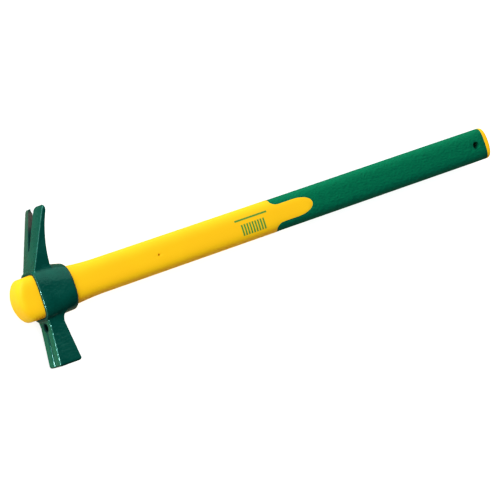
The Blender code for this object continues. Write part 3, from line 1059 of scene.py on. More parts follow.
@dataclass(frozen=True)
class MagnetFinish:
    """Ground magnet, nearly black: partly its own dark steel, partly painted shade of its recess."""

    # Near-black colours, partly painted shade of the recess
    bright: Colour = (0.012, 0.03, 0.032)
    dull: Colour = (0.002, 0.006, 0.007)
    glint: Tint = (0.1, 0.45, 0.45, 1.0)
    streaks: Grain = Grain(500.0, 4.0, 0.6, (1.0, 8.0, 1.0))
    sheen: Span = (0.22, 0.4)
    relief: float = 0.00001

    def build(self) -> Material:
        """Make the material.

        Returns:
            The material.
        """
        coat = Coat("ground_magnet_painted_shade")
        streaks = coat.noise(self.streaks)
        coat.feed(Base_Color=coat.mix(streaks, self.dull, self.bright))
        coat.feed(Roughness=coat.between(streaks, *self.sheen))
        coat.feed(Normal=coat.bump(streaks, self.relief))
        coat.set(Metallic=1.0, Specular_Tint=self.glint)
        return coat.material


@dataclass(frozen=True)
class FibreFinish:
    """Amber glass fibre in resin, with its strands along the rod."""

    amber: Colour = (0.36, 0.17, 0.05)
    pale: Colour = (0.55, 0.33, 0.13)
    strands: Grain = Grain(900.0, 4.0, 0.6, (0.05, 1.0, 1.0))
    strands_span: Span = (0.35, 0.65)
    sheen: Span = (0.3, 0.5)
    relief: float = 0.00004

    def build(self) -> Material:
        """Make the material.

        Returns:
            The material.
        """
        coat = Coat("glass_fibre")
        strands = coat.noise(self.strands)
        share = coat.ramp(strands, *self.strands_span)
        coat.feed(Base_Color=coat.mix(share, self.amber, self.pale))
        coat.feed(Roughness=coat.between(share, *self.sheen))
        coat.feed(Normal=coat.bump(strands, self.relief))
        return coat.material


@dataclass(frozen=True)
class FloorFinish:
    """Plain pale studio floor."""

    paper: Colour = (0.94, 0.94, 0.94)
    shade: Colour = (0.92, 0.92, 0.925)
    cloud: Grain = Grain(2.0, 2.0)
    roughness: float = 0.9

    def build(self) -> Material:
        """Make the material.

        Returns:
            The material.
        """
        coat = Coat("studio_paper")
        coat.feed(Base_Color=coat.mix(coat.noise(self.cloud), self.paper, self.shade))
        coat.set(Roughness=self.roughness)
        return coat.material


# Sub-assemblies


@dataclass
class Piece:
    """A sub-assembly: what it makes, what it stands for and how it is dressed."""

    place: Matrix
    made: list[Item] = field(default_factory=list, init=False)

    def keep(self, item: Item, node: str, slot: Slot, material: Material) -> None:
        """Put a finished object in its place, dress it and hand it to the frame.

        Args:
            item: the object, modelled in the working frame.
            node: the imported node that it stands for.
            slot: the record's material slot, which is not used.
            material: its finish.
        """
        item.data.transform(self.place)
        item.data.materials.clear()
        item.data.materials.append(material)
        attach(item, BODY)
        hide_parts(node)
        self.made.append(item)

    def report(self) -> None:
        """Log each piece with its triangle count."""
        for item in self.made:
            item.data.calc_loop_triangles()
            LOG.info("%s: %d triangles", item.name, len(item.data.loop_triangles))


@dataclass
class Core(Piece):
    """The glass-fibre rod, which keeps its packed form."""

    def dress(self, fibre: Material) -> None:
        """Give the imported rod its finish.

        Args:
            fibre: the finish.
        """
        item = bpy.data.objects["core_rod"]
        item.data.materials.clear()
        item.data.materials.append(fibre)
        self.made.append(item)


@dataclass
class Jacket(Piece):
    """The hard moulding: knob, shaft, neck under the grip, tongues and rim."""

    # Grip's wall and the tongues in its windows
    grip_wall: float = 0.0018
    tongue_length: float = 0.0417
    tongue_width: float = 0.016
    tongue_tip: float = 0.018
    tip_points: int = 25
    tongue_flare: float = 0.006
    flare_length: float = 0.0089
    flare_turn: float = math.radians(20)
    flare_points: int = 13
    # Hang hole
    hole_station: float = 0.4682
    hole_diameter: float = 0.007
    hole_lining: float = 0.001
    # Locating hole over the core
    pin_station: float = 0.1196
    pin_diameter: float = 0.0022
    pin_sides: int = 32
    core_diameter: float = 0.0115
    core_gap: float = 0.0003
    # Room past a cut, the seam between the two mouldings, and their rounded edges
    overrun: float = 0.004
    seam: float = 0.00004
    jacket_round: float = 0.00012
    grip_round: float = 0.00018

    def outer(self) -> Body:
        """Skin the handle from the knob's crest to the rim."""
        shaft = [HANDLE.outline(x).ring(x) for x in HANDLE.stations()]
        return skin([*HANDLE.dome(), *shaft, *HANDLE.rim()])

    def sleeve(self, distance: float, start: float, end: float) -> Body:
        """Skin the handle's outline, grown by a distance, over the stretch of the grip.

        Args:
            distance: how far it is grown.
            start: first station.
            end: last station.

        Returns:
            The closed body.
        """
        inside = [x for x in (start, *HANDLE.grip_stations(), end) if start <= x <= end]
        return skin([HANDLE.outline(x).grown(distance).ring(x) for x in inside])

    def bore(self) -> Span:
        """Return the stretch over which the neck runs through the grip, with room past it."""
        return HANDLE.grip_start - self.overrun, HANDLE.grip_end + self.overrun

    def tongue(self, margin: float) -> Body:
        """Build the tongues' cutter, open towards the head, through both sides.

        Args:
            margin: how far it is grown.

        Returns:
            The closed body.
        """
        half = self.tongue_width / 2 + margin
        start = HANDLE.grip_start
        tip_start = start + self.tongue_length - self.tongue_tip
        shoulder = half + self.tongue_flare * (1 - math.sin(self.flare_turn))
        upper = [(start - self.overrun, shoulder), (start, shoulder)]
        for turn in spread(self.flare_turn, math.pi / 2, self.flare_points)[1:]:
            x = start + self.flare_length * (math.cos(self.flare_turn) - math.cos(turn))
            upper.append((x, half + self.tongue_flare * (1 - math.sin(turn))))
        for turn in spread(0.0, math.pi / 2, self.tip_points):
            x = tip_start + (self.tongue_tip + margin) * math.sin(turn)
            upper.append((x, half * math.cos(turn)))
        outline = upper + [(x, -y) for x, y in reversed(upper[:-1])]
        return prism(outline, -2 * HANDLE.reach, 2 * HANDLE.reach)

    def grip_room(self) -> Item:
        """Build the space that the grip takes up in the handle.

        Returns:
            The space, with the neck and the tongues left out.
        """
        start, end, reach = HANDLE.grip_start, HANDLE.grip_end, HANDLE.reach
        block = [(start, -reach), (end, -reach), (end, reach), (start, reach)]
        room = to_object(prism(block, -reach, reach), "grip_room")
        combine(room, self.sleeve(-self.grip_wall - self.seam, *self.bore()), Join.CUT)
        combine(room, self.tongue(0.0), Join.CUT)
        return room

    def moulding(self) -> Item:
        """Build the jacket with the neck that the grip goes round.

        Returns:
            The jacket.
        """
        room = self.grip_room()
        jacket = to_object(self.outer(), "jacket_moulding")
        combine(jacket, opened(room), Join.CUT)
        bpy.data.objects.remove(room, do_unlink=True)
        return jacket

    def grip(self) -> Item:
        """Build the grip with its two windows.

        Returns:
            The grip.
        """
        start, end = HANDLE.grip_start + self.seam, HANDLE.grip_end - self.seam
        grip = to_object(self.sleeve(0.0, start, end), "grip_sleeve")
        combine(grip, self.sleeve(-self.grip_wall, *self.bore()), Join.CUT)
        combine(grip, self.tongue(self.seam), Join.CUT)
        return grip

    def pierce(self, jacket: Item, grip: Item) -> None:
        """Cut the hang hole, which the grip lines, and the locating hole over the core.

        Args:
            jacket: the jacket.
            grip: the grip.
        """
        centre = Vector((self.hole_station, 0.0, 0.0))
        depth = Vector((0.0, 0.0, HANDLE.reach))
        lined = self.hole_diameter + 2 * self.hole_lining
        half = Vector((0.0, 0.0, HANDLE.butt.half_z - self.hole_lining / 2))
        combine(jacket, rod(lined + 2 * self.seam, centre - depth, centre + depth), Join.CUT)
        combine(grip, rod(lined, centre - half, centre + half), Join.UNION)
        combine(grip, rod(self.hole_diameter, centre - depth, centre + depth), Join.CUT)
        pin = Vector((self.pin_station, 0.0, 0.0))
        floor = Vector((0.0, 0.0, self.core_diameter / 2 - self.core_gap))
        combine(jacket, rod(self.pin_diameter, pin + floor, pin + depth, self.pin_sides), Join.CUT)

    def make(self, yellow: Material, green: Material) -> None:
        """Build the jacket and the grip over it.

        Args:
            yellow: the jacket's finish.
            green: the grip's finish.
        """
        jacket, grip = self.moulding(), self.grip()
        self.pierce(jacket, grip)
        soften(jacket, self.jacket_round)
        soften(grip, self.grip_round)
        for item in (jacket, grip):
            shade(item)
        self.keep(jacket, "handle_jacket", Slot.JACKET, yellow)
        self.keep(grip, "soft_grip", Slot.GRIP, green)


@dataclass(frozen=True)
class HeadSteps:
    """How many rings or points each stretch of the head has."""

    top_edge: int = 6
    eye: int = 24
    collar_edge: int = 12
    pocket: int = 12
    face_edge: int = 8
    arm: int = 30
    arm_root: int = 14
    claw_root: int = 5
    claw: int = 45
    claw_bevel: int = 8
    claw_corner: int = 10
    bar_face: int = 12
    bar_side: int = 10
    bar_edge: int = 5
    slot_side: int = 60
    slot_root: int = 13


@dataclass(frozen=True)
class HeadWear:
    """Where the head's paint wears to a lighter film with a painted highlight on its edges, is lighter
    on its top faces (partly ground, partly painted light), is dulled, and takes painted shade.

    A span says where a mark starts and where it is full, or where it fades and is gone.
    """

    # How sharply an edge must bend to take the wear and painted highlight
    bend: Span = (0.035, 0.14)
    # Lighter top faces, partly ground and partly painted light, and how squarely a face must turn up
    arm_ground_and_lit: float = 0.72
    claw_ground_and_lit: float = 0.2
    facing_up: Span = (0.6, 0.9)
    groove_depth: Span = (0.0001, 0.0004)
    groove_side: float = 0.001
    rim_depth: Span = (0.001, 0.002)
    rim_loss: float = 0.8
    claw_dulled: float = 0.4
    # The slot's walls, which take painted shade, and bare chips near the mouth
    slot_side: Span = (0.0004, 0.001)
    slot_lead: float = 0.002
    facing_slot: Span = (0.1, 0.5)
    chips_start: Span = (0.35, 0.7)
    chips_end: Span = (0.85, 1.0)
    # Painted shade round the magnet's recess and in the gap under the knob
    recess: Span = (0.0009, 0.0016)
    crack: Span = (0.0003, 0.0016)
    crack_end: Span = (0.6, 0.95)


@dataclass
class ForgedHead(Piece):
    """The forged head: eye and collar, striking arm, claw with its slot, and nail starter."""

    # Eye and collar
    eye_gap: float = 0.00012
    fit_gap: float = 0.0003
    wall_top: float = 0.0027
    wall_collar: float = 0.0031
    eye_power_top: float = 5.2
    eye_power_collar: float = 2.45
    cheek_bulge: float = 0.0007
    top_edge: float = 0.0005
    collar_edge: float = 0.0034
    # Striking arm
    arm_reach: float = 0.0614
    arm_axis: float = 0.0084
    neck_depth: float = 0.0144
    neck_thickness: float = 0.0198
    neck_length: float = 0.0345
    root_fillet: float = 0.0048
    root_spread: float = 0.3
    root_lift: float = 0.12
    root_sunk: float = 0.004
    face_depth: float = 0.0216
    face_thickness: float = 0.0222
    face_edge: float = 0.0023
    arm_edge: float = 0.001
    # Claw
    claw_reach: float = 0.0717
    claw_slope: float = math.radians(25.6)
    claw_root_depth: float = 0.0184
    claw_root_width: float = 0.0236
    claw_tip_width: float = 0.0344
    claw_tip_thickness: float = 0.0046
    claw_tip_bevel: float = 0.0056
    claw_tip_edge: float = 0.0012
    bevel_bow: float = 1.5
    claw_crown: float = 0.0031
    crown_growth: float = 0.7
    tip_crown_loss: float = 0.5
    claw_edge: float = 0.0011
    claw_corner: float = 0.0028
    under_fillet: float = 0.0008
    # Least depth of the arm and the claw, in radii of their edges
    edge_room: float = 2.2
    # Run-out of the claw's root to the collar
    swell: float = 0.0028
    swell_rise: Span = (0.004, 0.01)
    swell_end: float = 0.0325
    # Nail slot
    slot_length: float = 0.0332
    slot_mouth: float = 0.0105
    slot_root: float = 0.0014
    slot_straight: float = 0.001
    slot_lip: float = 0.001
    slot_lip_spread: float = 0.0011
    slot_land: float = 0.0042
    slot_bevel: float = math.radians(30)
    # Nail starter
    magnet_diameter: float = 0.0058
    magnet_thickness: float = 0.003
    magnet_sunk: float = 0.0008
    magnet_offset: float = 0.006
    magnet_gap: float = 0.00015
    magnet_round: float = 0.0003
    magnet_round_steps: int = 4
    recess_flare: float = 0.0009
    groove_radius: float = 0.0018
    groove_start: float = 0.0009
    groove_end: float = 0.0014
    groove_gap: float = 0.0014
    # Room past a cut
    overrun: float = 0.004
    # Even mesh of the forging
    voxel: float = 0.00043
    even_passes: int = 4
    # Turns between which an edge counts as a crease, and the step of the points along it
    crisp: float = math.radians(32)
    folded: float = math.radians(150)
    mark_step: float = 0.00008
    # Rounded edges and inner corners
    edge_round: float = 0.0006
    edge_zone: float = 0.0012
    edge_passes: int = 2
    slot_round: float = 0.0003
    corner_zone: float = 0.0016
    corner_core: float = 0.00064
    corner_passes: int = 12
    # Fineness and wear
    steps: HeadSteps = HeadSteps()
    wear: HeadWear = HeadWear()

    @property
    def root_reach(self) -> float:
        """Return how far from the axis the arm and the claw start, inside the eye's wall."""
        return HANDLE.knob.half_y + self.fit_gap

    @property
    def free_reach(self) -> float:
        """Return how far from the axis the claw comes out of the eye's wall."""
        return self.root_reach + self.wall_top - self.fit_gap

    @property
    def bevel_reach(self) -> float:
        """Return how far from the axis the bevel under the claw's tip starts."""
        return self.claw_reach - self.claw_tip_bevel

    @property
    def slot_reach(self) -> float:
        """Return how far from the axis the slot starts."""
        return self.claw_reach - self.slot_length

    @property
    def magnet_reach(self) -> float:
        """Return the magnet's reach along -Y, past the eye's wall."""
        return HANDLE.knob.half_y + self.wall_top - self.fit_gap + self.magnet_offset

    def eye_outline(self, x: float) -> Outline:
        """Give the outside of the eye at a station.

        Args:
            x: the station.

        Returns:
            The outline.
        """
        share = clamped(x / HANDLE.eye_length)
        inner = HANDLE.outline(min(x, HANDLE.eye_length))
        wall = blend(self.wall_top, self.wall_collar, share)
        power = blend(self.eye_power_top, self.eye_power_collar, share)
        return Outline(inner.half_y + wall, inner.half_z + wall, power)

    def eye(self) -> Body:
        """Skin the eye and its collar.

        Returns:
            The closed body.
        """
        length, edge = HANDLE.eye_length, self.collar_edge
        stops = rounded(self.top_edge, self.steps.top_edge)
        stops += [(x, 0.0) for x in spread(self.top_edge, length - edge, self.steps.eye)[1:-1]]
        collar = reversed(rounded(edge, self.steps.collar_edge))
        stops += [(length - depth, inset) for depth, inset in collar]
        rings = []
        for x, inset in stops:
            rings.append(self.swelled(self.eye_outline(x).grown(-inset).ring(x, self.cheek_bulge)))
        return skin(rings)

    def swelled(self, ring: Ring) -> Ring:
        """Raise the eye's wall under the claw, where the root runs out to the collar.

        Args:
            ring: a ring across the eye.

        Returns:
            The raised ring.
        """
        half = max(point.z for point in ring)
        raised = []
        for x, y, z in ring:
            share = (self.swell_end - x) / (self.swell_end - self.claw_root_depth)
            rise = self.swell * smoothstep(*self.swell_rise, x) * clamped(share)
            lift = rise * (1 - (z / half) ** 2) ** 2 if y > 0.0 else 0.0
            raised.append(Vector((x, y + lift, z)))
        return raised

    def bar(
        self,
        y: float,
        box: tuple[float, float, float],
        edge: float,
        crown: float = 0.0,
        hollow: float = 0.0,
    ) -> Ring:
        """Draw a ring across the arm or the claw: a box with rounded edges and a crowned top.

        Args:
            y: its place along Y.
            box: X of the top face's edge, X of the underside's edge, and half width along Z.
            edge: radius of the edges.
            crown: how far the top face rises at its middle.
            hollow: how far the underside rises at its middle.

        Returns:
            The ring's points.
        """
        top, bottom, half = box
        edge = min(edge, half / 2, (bottom - top) / self.edge_room)
        side = []
        for across in spread(0.0, half - edge, self.steps.bar_face)[1:-1]:
            side.append((across, top - crown * (1 - (across / half) ** 2)))
        for turn in spread(0.0, math.pi / 2, self.steps.bar_edge):
            across = half - edge + edge * math.sin(turn)
            rise = crown * max(1 - (across / half) ** 2, 0.0)
            side.append((across, top - rise + edge * (1 - math.cos(turn))))
        side += [(half, x) for x in spread(top + edge, bottom - edge, self.steps.bar_side)[1:-1]]
        under = []
        for turn in spread(0.0, math.pi / 2, self.steps.bar_edge):
            under.append((half - edge + edge * math.cos(turn), bottom - edge * (1 - math.sin(turn))))
        under += [(across, bottom) for across in spread(half - edge, 0.0, self.steps.bar_face)[1:-1]]
        side += [(across, x - hollow * (1 - (across / half) ** 2)) for across, x in under]
        outline = [(0.0, top - crown), *side, (0.0, bottom - hollow)]
        outline += [(-across, x) for across, x in reversed(side)]
        return [Vector((x, y, across)) for across, x in outline]

    def moved(self, ring: Ring, y: float) -> Ring:
        """Return a copy of a bar's ring at another place along Y."""
        return [Vector((point.x, y, point.z)) for point in ring]

    def arm_box(self, reach: float) -> tuple[float, float, float]:
        """Give the arm's section at a reach from the axis.

        Args:
            reach: the reach along -Y.

        Returns:
            X of its top, X of its underside and its half width.
        """
        share = (reach - (self.arm_reach - self.neck_length)) / self.neck_length
        depth = blend(self.neck_depth, self.face_depth, share)
        thickness = blend(self.neck_thickness, self.face_thickness, share)
        return self.arm_axis - depth / 2, self.arm_axis + depth / 2, thickness / 2

    def arm(self) -> Body:
        """Skin the striking arm from its face to its root in the eye's wall.

        Returns:
            The closed body.
        """
        rings = []
        for depth, inset in rounded(self.face_edge, self.steps.face_edge):
            top, bottom, half = self.arm_box(self.arm_reach - depth)
            box = (top + inset, bottom - inset, half - inset)
            rings.append(self.bar(depth - self.arm_reach, box, self.arm_edge))
        neck = self.arm_reach - self.neck_length
        for reach in spread(self.arm_reach - self.face_edge, neck, self.steps.arm)[1:]:
            rings.append(self.bar(-reach, self.arm_box(reach), self.arm_edge))
        top, bottom, half = self.arm_box(neck)
        for share in spread(1.0, 0.0, self.steps.arm_root)[1:]:
            stand = fillet(self.root_fillet * share, self.root_fillet)
            box = (top - stand * self.root_lift, bottom + stand, half + stand * self.root_spread)
            rings.append(self.bar(-blend(self.root_reach, neck, share), box, self.arm_edge))
        rings.append(self.moved(rings[-1], self.root_sunk - self.root_reach))
        return skin(rings)

    def claw_top(self, y: float) -> float:
        """Return where the edge of the claw's top face lies at a reach along Y."""
        run = y - HANDLE.knob.half_y + self.wall_top - self.fit_gap
        return run * math.tan(self.claw_slope)

    def claw_under(self, y: float) -> float:
        """Give the claw's underside, before its tip's bevel.

        Args:
            y: the reach along Y.

        Returns:
            Where it lies along X.
        """
        start = HANDLE.knob.half_y + self.wall_collar - self.fit_gap
        share = max((y - start) / (self.bevel_reach - start), 0.0)
        tip = self.claw_top(self.bevel_reach) + self.claw_tip_thickness
        return blend(self.claw_root_depth, tip, share**2)

    def claw_stations(self) -> list[float]:
        """Place the claw's rings, close together at its root and its tip.

        Returns:
            Their reaches along Y.
        """
        free, bevel = self.free_reach, self.bevel_reach
        corner = self.claw_reach - self.claw_corner
        stations = spread(self.root_reach, free, self.steps.claw_root)
        stations += spread(free, bevel, self.steps.claw)[1:]
        stations += spread(bevel, corner, self.steps.claw_bevel)[1:]
        tip = rounded(self.claw_corner, self.steps.claw_corner)[1:]
        stations += [self.claw_reach - depth for depth, _ in tip]
        return sorted(set(stations))

    def claw_ring(self, y: float) -> Ring:
        """Draw one ring of the claw, wider and more crowned towards the tip.

        Args:
            y: its reach along Y.

        Returns:
            The ring's points.
        """
        corner = self.claw_reach - self.claw_corner
        share = clamped((y - self.free_reach) / (corner - self.free_reach))
        half = blend(self.claw_root_width, self.claw_tip_width, share) / 2
        half -= fillet(self.claw_reach - y, self.claw_corner)
        tip_share = max(y - corner, 0.0) / self.claw_corner
        crown = self.claw_crown * share**self.crown_growth
        crown *= 1 - self.tip_crown_loss * tip_share**2
        past = max(y - self.bevel_reach, 0.0)
        under = self.claw_under(min(y, self.bevel_reach))
        under += past * math.tan(self.claw_slope)
        under += fillet(y - self.free_reach, self.under_fillet)
        bevelled = (past / self.claw_tip_bevel) ** self.bevel_bow
        under -= (self.claw_tip_thickness - self.claw_tip_edge) * bevelled
        box = (self.claw_top(y), under, half)
        return self.bar(y, box, self.claw_edge, crown, crown * share)

    def claw(self) -> Body:
        """Skin the claw from its root in the eye's wall to its rounded tip.

        Returns:
            The closed body.
        """
        rings = [self.claw_ring(y) for y in self.claw_stations()]
        rings.insert(0, self.moved(rings[0], self.root_reach - self.root_sunk))
        return skin(rings)

    def slot(self, margin: float, depth: Callable[[float], float]) -> Ring:
        """Draw the nail slot's outline: a V with a round root and rounded lips.

        Args:
            margin: how far it is grown.
            depth: gives X for a reach along Y.

        Returns:
            The ring's points.
        """
        root, half_root = self.slot_reach, self.slot_root / 2
        side = []
        for y in spread(root + self.slot_straight, self.claw_reach, self.steps.slot_side):
            vee = blend(half_root, self.slot_mouth / 2, (y - root) / self.slot_length)
            lip = fillet(self.claw_reach - y, self.slot_lip) * self.slot_lip_spread / self.slot_lip
            side.append((y, vee + lip + margin))
        side.append((self.claw_reach + self.overrun, side[-1][1]))
        outline = [(y, -across) for y, across in side]
        outline += reversed(side)
        radius = half_root + margin
        for turn in spread(0.0, math.pi, self.steps.slot_root):
            outline.append((root - radius * math.sin(turn), radius * math.cos(turn)))
        return [Vector((depth(y), y, across)) for y, across in outline]

    def slot_cutter(self) -> Body:
        """Skin the slot's cutter: straight for its land, then open to the underside.

        Returns:
            The closed body.
        """
        rings = [self.slot(0.0, lambda _y: -self.overrun)]
        for level in (0.0, self.claw_root_depth):
            land = self.slot_land + level
            margin = level * math.tan(self.slot_bevel)
            rings.append(self.slot(margin, lambda y, land=land: self.claw_top(y) + land))
        return skin(rings)

    def pocket(self) -> Body:
        """Skin the eye's pocket round the handle.

        Returns:
            The closed body.
        """
        length = HANDLE.eye_length
        stations = spread(0.0, length, self.steps.pocket)
        rings = []
        for x in (-self.overrun, *stations, length + self.overrun):
            rings.append(HANDLE.outline(min(x, length)).grown(self.eye_gap).ring(x))
        return skin(rings)

    def magnet_top(self) -> float:
        """Return where the magnet's outer face lies."""
        return self.arm_box(self.magnet_reach)[0] + self.magnet_sunk

    def starter_cutters(self) -> Iterable[Body]:
        """Build the cutters of the magnet's recess, of its lip at 45 degrees and of the groove.

        Yields:
            The cutters.
        """
        reach = self.magnet_reach
        floor = self.magnet_top() + self.magnet_thickness + self.magnet_gap
        width = self.magnet_diameter + 2 * self.magnet_gap
        yield rod(width, Vector((floor, -reach, 0.0)), Vector((-self.overrun, -reach, 0.0)))
        middle = Vector((self.arm_box(reach)[0], -reach, 0.0))
        height = 2 * self.recess_flare
        half = Vector((height / 2, 0.0, 0.0))
        yield rod(width, middle + half, middle - half, grown=2 * height)
        start = reach + self.magnet_diameter / 2 + self.groove_gap
        end = self.arm_reach + self.overrun
        ends = []
        for place, depth in ((start, self.groove_start), (end, self.groove_end)):
            axis = self.arm_box(place)[0] + depth - self.groove_radius
            ends.append(Vector((axis, -place, 0.0)))
        yield rod(2 * self.groove_radius, *ends)

    def creases(self, exact: Item, convex: bool) -> KDTree:
        """Collect points along the exact body's crisp edges, but not along folded slivers.

        Args:
            exact: the union of the forms with crisp edges.
            convex: whether to take the outer edges or the inner corners.

        Returns:
            The points, ready to be searched.
        """
        bm = opened(exact)
        bmesh.ops.dissolve_degenerate(bm, dist=WELD, edges=bm.edges)
        marks = []
        for edge in bm.edges:
            if not edge.is_manifold or not self.crisp < edge.calc_face_angle() < self.folded:
                continue
            if edge.is_convex == convex:
                first, second = (vert.co for vert in edge.verts)
                count = max(int((second - first).length / self.mark_step), 1)
                marks += [first.lerp(second, step / count) for step in range(count + 1)]
        bm.free()
        tree = KDTree(len(marks))
        for index, mark in enumerate(marks):
            tree.insert(mark, index)
        tree.balance()
        return tree

    def remeshed(self, exact: Item) -> Item:
        """Give a copy of the exact body an even mesh.

        Args:
            exact: the union of the forms with crisp edges.

        Returns:
            The copy.
        """
        forging = to_object(bmesh.new(), "forged_head")
        forging.data = exact.data.copy()
        remesh = forging.modifiers.new("even", "REMESH")
        remesh.mode = "VOXEL"
        remesh.voxel_size = self.voxel
        settle(forging)
        return forging

    def forged(self, exact: Item) -> Item:
        """Give the exact body the even mesh and the rounded edges of a painted forging.

        Outer edges are rounded to a radius, inner corners are left to the smoothing, and
        everything else is drawn back onto the exact body.

        Args:
            exact: the union of the forms with crisp edges.

        Returns:
            The forging.
        """
        outer, inner = self.creases(exact, True), self.creases(exact, False)
        surface = BVHTree.FromObject(exact, bpy.context.evaluated_depsgraph_get())
        forging = self.remeshed(exact)
        bm = opened(forging)
        relax(bm, bm.verts, self.even_passes)
        corner = [vert for vert in bm.verts if inner.find(vert.co)[2] < self.corner_zone]
        relax(bm, corner, self.corner_passes)
        for vert in bm.verts:
            place, normal, _, _ = surface.find_nearest(vert.co)
            slotted = place.y > self.slot_reach and abs(place.z) < self.slot_mouth / 2
            off = fillet(outer.find(place)[2], self.slot_round if slotted else self.edge_round)
            drawn = smoothstep(self.corner_core, self.corner_zone, inner.find(place)[2])
            vert.co = vert.co.lerp(place - normal * off, drawn)
        edge = [vert for vert in bm.verts if outer.find(vert.co)[2] < self.edge_zone]
        relax(bm, edge, self.edge_passes)
        close(bm, forging)
        return forging

    def edge_wear(self, bm: Body) -> list[float]:
        """Find the outer edges, where the paint wears to a lighter film that is also a painted
        highlight.

        Args:
            bm: the head.

        Returns:
            The share of wear and painted highlight at each vertex.
        """
        bend = []
        for vert in bm.verts:
            around = [edge.other_vert(vert).co for edge in vert.link_edges]
            middle = sum(around, Vector()) / len(around)
            size = sum((point - vert.co).length for point in around) / len(around)
            bend.append((vert.co - middle).dot(vert.normal) / size)
        wear = []
        for vert in bm.verts:
            near = [bend[edge.other_vert(vert).index] for edge in vert.link_edges]
            mean = (bend[vert.index] + sum(near)) / (len(near) + 1)
            wear.append(smoothstep(*self.wear.bend, mean))
        return wear

    def in_groove(self, point: Vector) -> float:
        """Give how much a point lies in the nail groove.

        Args:
            point: the point.

        Returns:
            The share.
        """
        x, y, z = point
        if -y <= self.magnet_reach:
            return 0.0
        fade = self.groove_radius + self.wear.groove_side
        share = smoothstep(*self.wear.groove_depth, x - self.arm_box(-y)[0])
        return share * (1 - smoothstep(self.groove_radius, fade, abs(z)))

    def in_slot(self, point: Vector) -> float:
        """Give how much a point lies on the slot's walls or between them.

        Args:
            point: the point.

        Returns:
            The share.
        """
        run = point.y - self.slot_reach
        vee = blend(self.slot_root / 2, self.slot_mouth / 2, run / self.slot_length)
        share = 1 - smoothstep(*self.wear.slot_side, abs(point.z) - vee)
        return share * smoothstep(-self.wear.slot_lead, 0.0, run)

    def chipped(self, point: Vector) -> float:
        """Return how far the slot's walls are bare at a point, most of it near the mouth."""
        share = (point.y - self.slot_reach) / self.slot_length
        return smoothstep(*self.wear.chips_start, share) * (1 - smoothstep(*self.wear.chips_end, share))

    def in_shade(self, point: Vector) -> float:
        """Give how much painted shade darkens the magnet's recess and the gap under the knob.

        Args:
            point: the point.

        Returns:
            The share.
        """
        x, y, z = point
        if x >= self.arm_axis / 2:
            return 0.0
        off = math.hypot(y + self.magnet_reach, z) - self.magnet_diameter / 2
        recess = 1 - smoothstep(*self.wear.recess, off)
        if y >= 0.0:
            return recess
        crack = 1 - smoothstep(*self.wear.crack, -y - HANDLE.knob.half_y)
        crack *= 1 - smoothstep(*self.wear.crack_end, abs(z) / HANDLE.knob.half_z)
        return max(recess, crack)

    def marks(self, vert: bmesh.types.BMVert, worn_and_lit: float) -> dict[Mark, float]:
        """Give the marks of one vertex.

        Args:
            vert: the vertex.
            worn_and_lit: how much the edges' wear and painted highlight reach it.

        Returns:
            The value of each mark.
        """
        x, y, _ = vert.co
        eye_side = HANDLE.knob.half_y
        beside = smoothstep(eye_side, eye_side + self.root_fillet, abs(y))
        # Lighter top faces of arm and claw: partly ground, partly painted light
        ground = self.wear.arm_ground_and_lit if y < 0.0 else self.wear.claw_ground_and_lit
        ground *= beside * smoothstep(*self.wear.facing_up, -vert.normal.x)
        rim = (1 - beside) * (1 - smoothstep(*self.wear.rim_depth, x))
        groove, slotted = self.in_groove(vert.co), self.in_slot(vert.co)
        wall = slotted * smoothstep(*self.wear.facing_slot, abs(vert.normal.z))
        return {
            # Wear and painted highlight on the edges, less in the slot and on the eye's rim
            Mark.WEAR_AND_HIGHLIGHT: worn_and_lit * (1 - slotted) * (1 - self.wear.rim_loss * rim),
            Mark.GROUND_AND_LIT: ground * (1 - groove),
            # Painted shade on the slot's walls, in the magnet's recess and under the knob
            Mark.PAINTED_SHADE: max(wall, self.in_shade(vert.co)),
            Mark.MOUTH: wall * self.chipped(vert.co),
            Mark.GROOVE: groove,
            Mark.DULLED: max(rim, self.wear.claw_dulled * beside if y > 0.0 else 0.0),
        }

    def mark(self, forging: Item) -> None:
        """Store the marks that the enamel reads on the head's mesh.

        Args:
            forging: the head.
        """
        bm = opened(forging)
        bm.normal_update()
        found = [self.marks(vert, worn_and_lit) for vert, worn_and_lit in zip(bm.verts, self.edge_wear(bm))]
        bm.free()
        for kind in Mark:
            layer = forging.data.attributes.new(kind.value, "FLOAT", "POINT")
            layer.data.foreach_set("value", [values[kind] for values in found])

    def make(self, enamel: Material) -> None:
        """Build the head.

        Args:
            enamel: its finish.
        """
        exact = to_object(self.eye(), "exact_head")
        combine(exact, self.arm(), Join.UNION)
        combine(exact, self.claw(), Join.UNION)
        for cutter in (self.pocket(), self.slot_cutter(), *self.starter_cutters()):
            combine(exact, cutter, Join.CUT)
        forging = self.forged(exact)
        bpy.data.objects.remove(exact, do_unlink=True)
        self.mark(forging)
        forging.data.shade_smooth()
        self.keep(forging, "hammer_head", Slot.HEAD, enamel)

    def make_magnet(self, metal: Material) -> None:
        """Build the nail magnet with its rounded rim.

        Args:
            metal: its finish.
        """
        top = Vector((self.magnet_top(), -self.magnet_reach, 0.0))
        under = top + Vector((self.magnet_thickness, 0.0, 0.0))
        disc = to_object(rod(self.magnet_diameter, under, top), "magnet_disc")
        soften(disc, self.magnet_round, self.magnet_round_steps)
        shade(disc)
        self.keep(disc, "nail_magnet", Slot.MAGNET, metal)


# Studio


